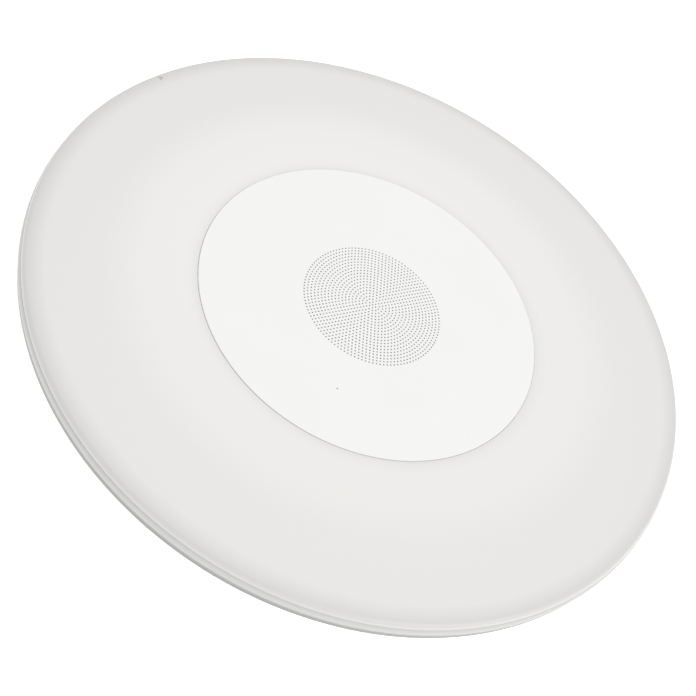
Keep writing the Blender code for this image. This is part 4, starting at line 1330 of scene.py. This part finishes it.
class LIGHT_OT_leads(bpy.types.Operator):
    """Builds the insulated leads between the boards, each with a ferrule at its ends"""

    bl_idname = "light.leads"
    bl_label = "Leads"

    def execute(self, context):
        live = [(-80, 10, 10.5), (-77, 14, 9), (-78, 26, 7), (-80, 45, 6.5)]
        live += [(-76, 66, 6.5), (-64, 84, 8), (-45.8, 92, 10.5)]
        neutral = [(-80, 0, 10.5), (-75.5, 5, 9), (-74.5, 20, 7), (-75, 40, 6.5)]
        neutral += [(-70, 60, 6.5), (-60, 76, 8), (-45.8, 84, 10.5)]
        light = [(45.8, 98, 10), (54, 99, 8), (66, 100, 6.6), (76, 100, 7.4)]
        light += [(84, 99, 9), (92, 98, 8.2), (98, 98, 7.8)]
        power = [(46.2, 88, 10), (54, 84, 7), (66, 62, 6.4), (80, 30, 6.4), (82, -10, 6.4)]
        power += [(74, -48, 6.4), (58, -74, 9), (46, -86, 13.4), (37, -90, 13.4)]
        speaker = [(28, -84, 13.4), (30, -78, 15.5), (38, -69, 21), (47, -57, 31)]
        speaker += [(44, -46, 37), (38, -38, 38), (32, -32, 38)]
        self.lead("live_lead", live, "brown_pvc", "6B3A20", "wire_brown")
        self.lead("neutral_lead", neutral, "blue_pvc", "2B5FA8", "wire_blue")
        self.lead("led_lead", light, "white_pvc", "E8E6DF", "wire_white")
        self.lead("audio_power_lead", power, "red_pvc", "B3261E", "wire_red")
        self.lead("speaker_lead", speaker, "white_pvc", "E8E6DF", "wire_white")
        return {"FINISHED"}

    def lead(self, node, points, finish, hex_colour, slot):
        curve = bpy.data.curves.new(node, "CURVE")
        curve.dimensions = "3D"
        curve.bevel_depth = 1.2 * MM
        curve.bevel_resolution = 3
        curve.use_fill_caps = True
        route = through([(x * MM, y * MM, z * MM) for x, y, z in points], 8)
        spline = curve.splines.new("POLY")
        spline.points.add(len(route) - 1)
        for point, place in zip(spline.points, route):
            point.co = (*place, 1)
        spline.use_smooth = True
        curve.materials.append(wire_pvc(finish, hex_colour))
        made = bpy.data.objects.new(node.replace("lead", "wire"), curve)
        bpy.context.scene.collection.objects.link(made)
        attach(made, "base")
        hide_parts(node)
        sleeves = bmesh.new()
        for end, beyond in ((route[0], route[1]), (route[-1], route[-2])):
            turn = (end - beyond).to_track_quat("Z", "Y").to_matrix().to_4x4()
            sleeve = soft_ring(1.22 * MM, 1.7 * MM, -3 * MM, 0.6 * MM, 0.15 * MM, 20)
            put(sleeves, sleeve, Matrix.Translation(end) @ turn)
        nylon = pale_plastic("cream_nylon_sleeve", "E3DECF")
        piece(node.replace("lead", "sleeves"), sleeves, nylon, "base")


# ---------------------------------------------------------------- loudspeaker


class LIGHT_OT_speaker_box(bpy.types.Operator):
    """Builds the cup behind the loudspeaker, with its ledge and its stiffening ribs"""

    bl_idname = "light.speaker_box"
    bl_label = "Speaker box"

    def execute(self, context):
        low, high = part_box("speaker_box")
        radius, wall, ledge, bend = high.x, 2.5 * MM, 44.5 * MM, 3 * MM
        outline = [(0, low.z), *arc((radius - bend, low.z + bend), bend, -90, 0, 6)]
        outline += arc((radius - 0.5 * MM, high.z - 0.5 * MM), 0.5 * MM, 0, 90, 3)
        outline += arc((ledge + 0.4 * MM, high.z - 0.4 * MM), 0.4 * MM, 90, 180, 3)
        outline += [(ledge, high.z - wall), (radius - wall, high.z - wall)]
        outline += [*arc((radius - bend, low.z + bend), bend - wall, 0, -90, 3), (0, low.z + wall)]
        data = turned(outline, MIDDLING)
        for side in range(0, 360, 15):
            if side != 315:
                rib = block((2.4 * MM, 1.6 * MM, high.z - low.z - 8 * MM), 0.4 * MM, 2)
                put(data, rib, round_axis(radius + 0.1 * MM, side, low.z + 4 * MM))
        black = dark_plastic("black_abs_moulded", "242426", 0.55, 0.5 * MM)
        piece("speaker_cup", data, black, "base", "speaker_box")
        return {"FINISHED"}


class LIGHT_OT_speaker_frame(bpy.types.Operator):
    """Builds the loudspeaker's basket, magnet, plates, screws and gasket"""

    bl_idname = "light.speaker_frame"
    bl_label = "Speaker frame"

    def execute(self, context):
        low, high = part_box("speaker_basket")
        flange, top = 55 * MM, high.z
        holes = [round_outline(on_circle(SPEAKER_CIRCLE, side), 1.6 * MM, 16) for side in SPEAKER_ANGLES]
        rims = [round_outline((0, 0), radius, MIDDLING) for radius in (flange, 43.2 * MM)]
        data = plate([*rims, *holes], top - 2 * MM, top, 0.3 * MM)
        bowl = [(43.2, 57.0), (42.9, 55.4), (42.2, 54), (41.4, 52.6)]
        bowl = [(radius * MM, height * MM) for radius, height in bowl]
        lip = [*bowl, *((radius - 1.2 * MM, height) for radius, height in reversed(bowl))]
        put(data, turned(lip, MIDDLING))
        put(data, soft_ring(15.5 * MM, 28 * MM, low.z, low.z + 1.6 * MM, 0.3 * MM, MIDDLING))
        spoke = [(41.6, 53.4), (40, 51.2), (34, 42.9), (29.2, 36.2)]
        spoke += [(27.6, 34.4), (25.8, 33.6), (23, 33.5)]
        for side in range(45, 405, 60):
            arm = strip([(x * MM, z * MM) for x, z in spoke], 1.3 * MM, 11 * MM, 0.3 * MM)
            put(data, arm, round_axis(0, side))
        coat = dark_plastic("charcoal_e_coat", "3B3C3E", 0.42, 1.2 * MM)
        piece("basket", data, coat, "base", "speaker_basket")

        low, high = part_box("speaker_magnet")
        ferrite = soft_ring(17 * MM, high.x, low.z, high.z, 0.6 * MM, MIDDLING)
        piece("ring_magnet", ferrite, ferrite_ceramic(), "base", "speaker_magnet")
        low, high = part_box("speaker_top_plate")
        front = soft_ring(13.6 * MM, high.x, low.z, high.z, 0.4 * MM, MIDDLING)
        piece("top_plate", front, zinc_plate(), "base", "speaker_top_plate")
        low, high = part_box("speaker_yoke")
        back, pole, disc, sunk = low.z + 4.3 * MM, 11.4 * MM, 28 * MM, high.z - 1 * MM
        outline = [(0, low.z), (disc - 1.4 * MM, low.z), (disc, low.z + 1.4 * MM), (disc, back)]
        outline += [(pole, back), (pole, high.z - 0.6 * MM), (pole - 0.6 * MM, high.z)]
        outline += [(3 * MM, high.z), (2.4 * MM, sunk), (0, sunk)]
        yoke = turned(outline, MIDDLING)
        piece("pole_yoke", yoke, zinc_plate(), "base", "speaker_yoke", 30)

        screws = bmesh.new()
        for side in SPEAKER_ANGLES:
            screw = cross_screw(2.4 * MM, 1.6 * MM, 1.2 * MM, 5.4 * MM)
            put(screws, screw, round_axis(SPEAKER_CIRCLE, side, top))
        nodes = [f"speaker_screw_{number}" for number in (1, 2, 3, 4)]
        piece("basket_screws", screws, zinc_plate(), "base", nodes)
        low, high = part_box("speaker_gasket")
        ring = soft_ring(45.9 * MM, high.x, low.z, high.z, 0.9 * MM, MIDDLING)
        finish = foam("black_pe_foam", "232324", 0.9 * MM)
        piece("foam_gasket", ring, finish, "base", "speaker_gasket")
        return {"FINISHED"}


class LIGHT_OT_speaker_cone(bpy.types.Operator):
    """Builds the cone, the dust cap, the voice coil, and the surround and spider that hold them"""

    bl_idname = "light.speaker_cone"
    bl_label = "Speaker cone"

    def execute(self, context):
        low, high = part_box("speaker_cone")
        neck, edge, thick, steps = 13 * MM, high.x, 0.8 * MM, 28
        face = []
        for share in (step / steps for step in range(steps + 1)):
            ripple = 0.16 * MM * math.sin(math.tau * 5 * share) * (share > 0.3)
            height = high.z - (high.z - low.z - thick) * (1 - share) ** 1.12
            face.append((neck + (edge - neck) * share, height + ripple * (share < 0.98)))
        back = [(radius, height - thick) for radius, height in reversed(face)]
        data = turned([*face, *back], MIDDLING)
        piece("paper_cone", data, cone_paper(), "cone", "speaker_cone", 50)
        self.make_cap()
        self.make_coil()
        self.make_surround()
        self.make_spider()
        return {"FINISHED"}

    def make_cap(self):
        low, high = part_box("dust_cap")
        wide, rise, skin = high.x, high.z - low.z, 0.7 * MM
        quarter = [on_circle(1, turn) for turn in range(0, 90, 10)]
        outer = [(wide * out, low.z + rise * up) for out, up in quarter]
        inner = [((wide - skin) * out, low.z + (rise - skin) * up) for out, up in quarter]
        outline = [(0, low.z + rise - skin), *reversed(inner), *outer, (0, low.z + rise)]
        piece("dome_cap", turned(outline, MIDDLING), cone_paper(), "cone", "dust_cap", 50)

    def make_coil(self):
        low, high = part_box("voice_coil")
        inner, outer = 12 * MM, high.x
        data = bmesh.new()
        former = soft_ring(inner, inner + 0.3 * MM, low.z, high.z, 0.1 * MM, MIDDLING)
        put(data, former, None, 1)
        put(data, soft_ring(inner + 0.28 * MM, outer, low.z, low.z + 9 * MM, 0.15 * MM, MIDDLING))
        finishes = [enamelled_copper(), pale_plastic("amber_polyimide_film", "B8792E", 0.3)]
        piece("wound_coil", data, finishes, "cone", "voice_coil")

    def make_surround(self):
        low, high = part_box("speaker_surround")
        roll, skin, lie = 2.7 * MM, 0.6 * MM, low.z
        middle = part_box("speaker_cone")[1].x + 0.3 * MM + roll
        inside = [*arc((middle, lie), roll - skin, 180, 0, 12), (high.x, lie)]
        outside = [(high.x, lie + skin), *arc((middle, lie + skin), roll, 0, 180, 14)]
        data = turned([*inside, *outside], FINE)
        finish = rubber("butyl_rubber_moulded")
        piece("rubber_surround", data, finish, "base", "speaker_surround", 40)

    def make_spider(self):
        low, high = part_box("speaker_spider")
        inner, outer, skin, waves, steps = 13.1 * MM, 25.2 * MM, 0.5 * MM, 4, 48
        face = []
        for share in (step / steps for step in range(steps + 1)):
            settle = 37.2 * MM + (34.5 - 37.2) * MM * max(0, share - 0.35) / 0.65
            wave = 0.7 * MM * math.sin(math.tau * waves * share) * (0.06 < share < 0.9)
            face.append((inner + (outer - inner) * share, max(low.z, min(high.z - skin, settle + wave))))
        top = [(radius, height + skin) for radius, height in face]
        amber = woven("phenolic_cotton_spider", "C29145", 0.7 * MM, 0.12 * MM, 0.25)
        data = turned([*top, *reversed(face)], MIDDLING)
        piece("spider", data, amber, "base", "speaker_spider", 60)


# ---------------------------------------------------------------- stage


class LIGHT_OT_stage(bpy.types.Operator):
    """Sets the floor, the soft light and the camera"""

    bl_idname = "light.stage"
    bl_label = "Stage"

    def execute(self, context):
        scene = context.scene
        scene.view_settings.view_transform = "Standard"
        self.lay_floor()
        self.light_room(scene)
        self.place_camera(scene)
        return {"FINISHED"}

    def lay_floor(self):
        """A matt white sheet, lit from below a little as on a light table."""
        data = bmesh.new()
        bmesh.ops.create_grid(data, x_segments=1, y_segments=1, size=60)
        mesh = bpy.data.meshes.new("floor")
        data.to_mesh(mesh)
        data.free()
        glow = 0.45
        made, tree, shader = material("matt_white_sheet", colours().floor, 0.95, Emission_Strength=glow)
        shader.inputs["Emission Color"].default_value = (1, 1, 1, 1)
        grain(tree, shader, 2 * MM, 0.02 * MM)
        mesh.materials.append(made)
        floor = bpy.data.objects.new("floor", mesh)
        floor.location.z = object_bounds()[0][2] - 0.2 * MM
        bpy.context.scene.collection.objects.link(floor)
        floor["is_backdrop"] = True

    def light_room(self, scene):
        world = bpy.data.worlds.new("white_room")
        world.use_nodes = True
        background = world.node_tree.nodes["Background"]
        background.inputs["Color"].default_value = (1, 1, 1, 1)
        background.inputs["Strength"].default_value = 0.745
        scene.world = world
        self.panel_light("key_panel", -25, 48, 8, 6.5, 215)
        self.panel_light("far_panel", 84, 60, 8, 6.5, 145)

    def panel_light(self, name, azimuth, elevation, distance, width, power):
        lamp = bpy.data.lights.new(name, "AREA")
        lamp.shape = "DISK"
        lamp.size = width
        lamp.energy = power
        made = bpy.data.objects.new(name, lamp)
        across, height = on_circle(distance, elevation)
        made.location = (*on_circle(across, azimuth), height)
        made.rotation_euler = (-made.location).to_track_quat("-Z", "Y").to_euler()
        bpy.context.scene.collection.objects.link(made)

    def place_camera(self, scene):
        lens = bpy.data.cameras.new("camera")
        lens.lens = 66.85
        lens.clip_end = 50
        camera = bpy.data.objects.new("camera", lens)
        aim = Vector((-4.0 * MM, -45.75 * MM, FACE_Z))
        distance, azimuth, elevation, roll = 0.86266, -96.386, 48.398, 31.571
        across, height = on_circle(distance, elevation)
        away = Vector((*on_circle(across, azimuth), height))
        level = (-away).to_track_quat("-Z", "Y").to_matrix().to_4x4()
        tilt = Matrix.Rotation(math.radians(roll), 4, "Z")
        camera.matrix_world = Matrix.Translation(aim + away) @ level @ tilt
        scene.collection.objects.link(camera)
        scene.camera = camera


OPERATORS = (
    LIGHT_OT_diffuser,
    LIGHT_OT_rim,
    LIGHT_OT_centre_panel,
    LIGHT_OT_cover_fixings,
    LIGHT_OT_pan,
    LIGHT_OT_bracket,
    LIGHT_OT_clips,
    LIGHT_OT_light_boards,
    LIGHT_OT_driver,
    LIGHT_OT_audio_board,
    LIGHT_OT_terminals,
    LIGHT_OT_leads,
    LIGHT_OT_speaker_box,
    LIGHT_OT_speaker_frame,
    LIGHT_OT_speaker_cone,
    LIGHT_OT_stage,
)


class LIGHT_PT_panel(bpy.types.Panel):
    """Lists the sizes, the colours and a button for each piece"""

    bl_idname = "LIGHT_PT_panel"
    bl_label = "Speaker Ceiling Light"
    bl_space_type = "VIEW_3D"
    bl_region_type = "UI"
    bl_category = "Light"

    def draw(self, context):
        for group in (sizes(), colours()):
            box = self.layout.box()
            for key in group.__annotations__:
                box.prop(group, key)
        for operator in OPERATORS:
            self.layout.operator(operator.bl_idname)


CLASSES = (LightSizes, LightColours, *OPERATORS, LIGHT_PT_panel)


def register():
    for one in CLASSES:
        bpy.utils.register_class(one)
    bpy.types.Scene.light_sizes = PointerProperty(type=LightSizes)
    bpy.types.Scene.light_colours = PointerProperty(type=LightColours)


def unregister():
    del bpy.types.Scene.light_colours
    del bpy.types.Scene.light_sizes
    for one in reversed(CLASSES):
        bpy.utils.unregister_class(one)


def main():
    register()
    for operator in OPERATORS:
        group, name = operator.bl_idname.split(".")
        getattr(getattr(bpy.ops, group), name)()
    even_shading()


if __name__ == "__main__":
    main()
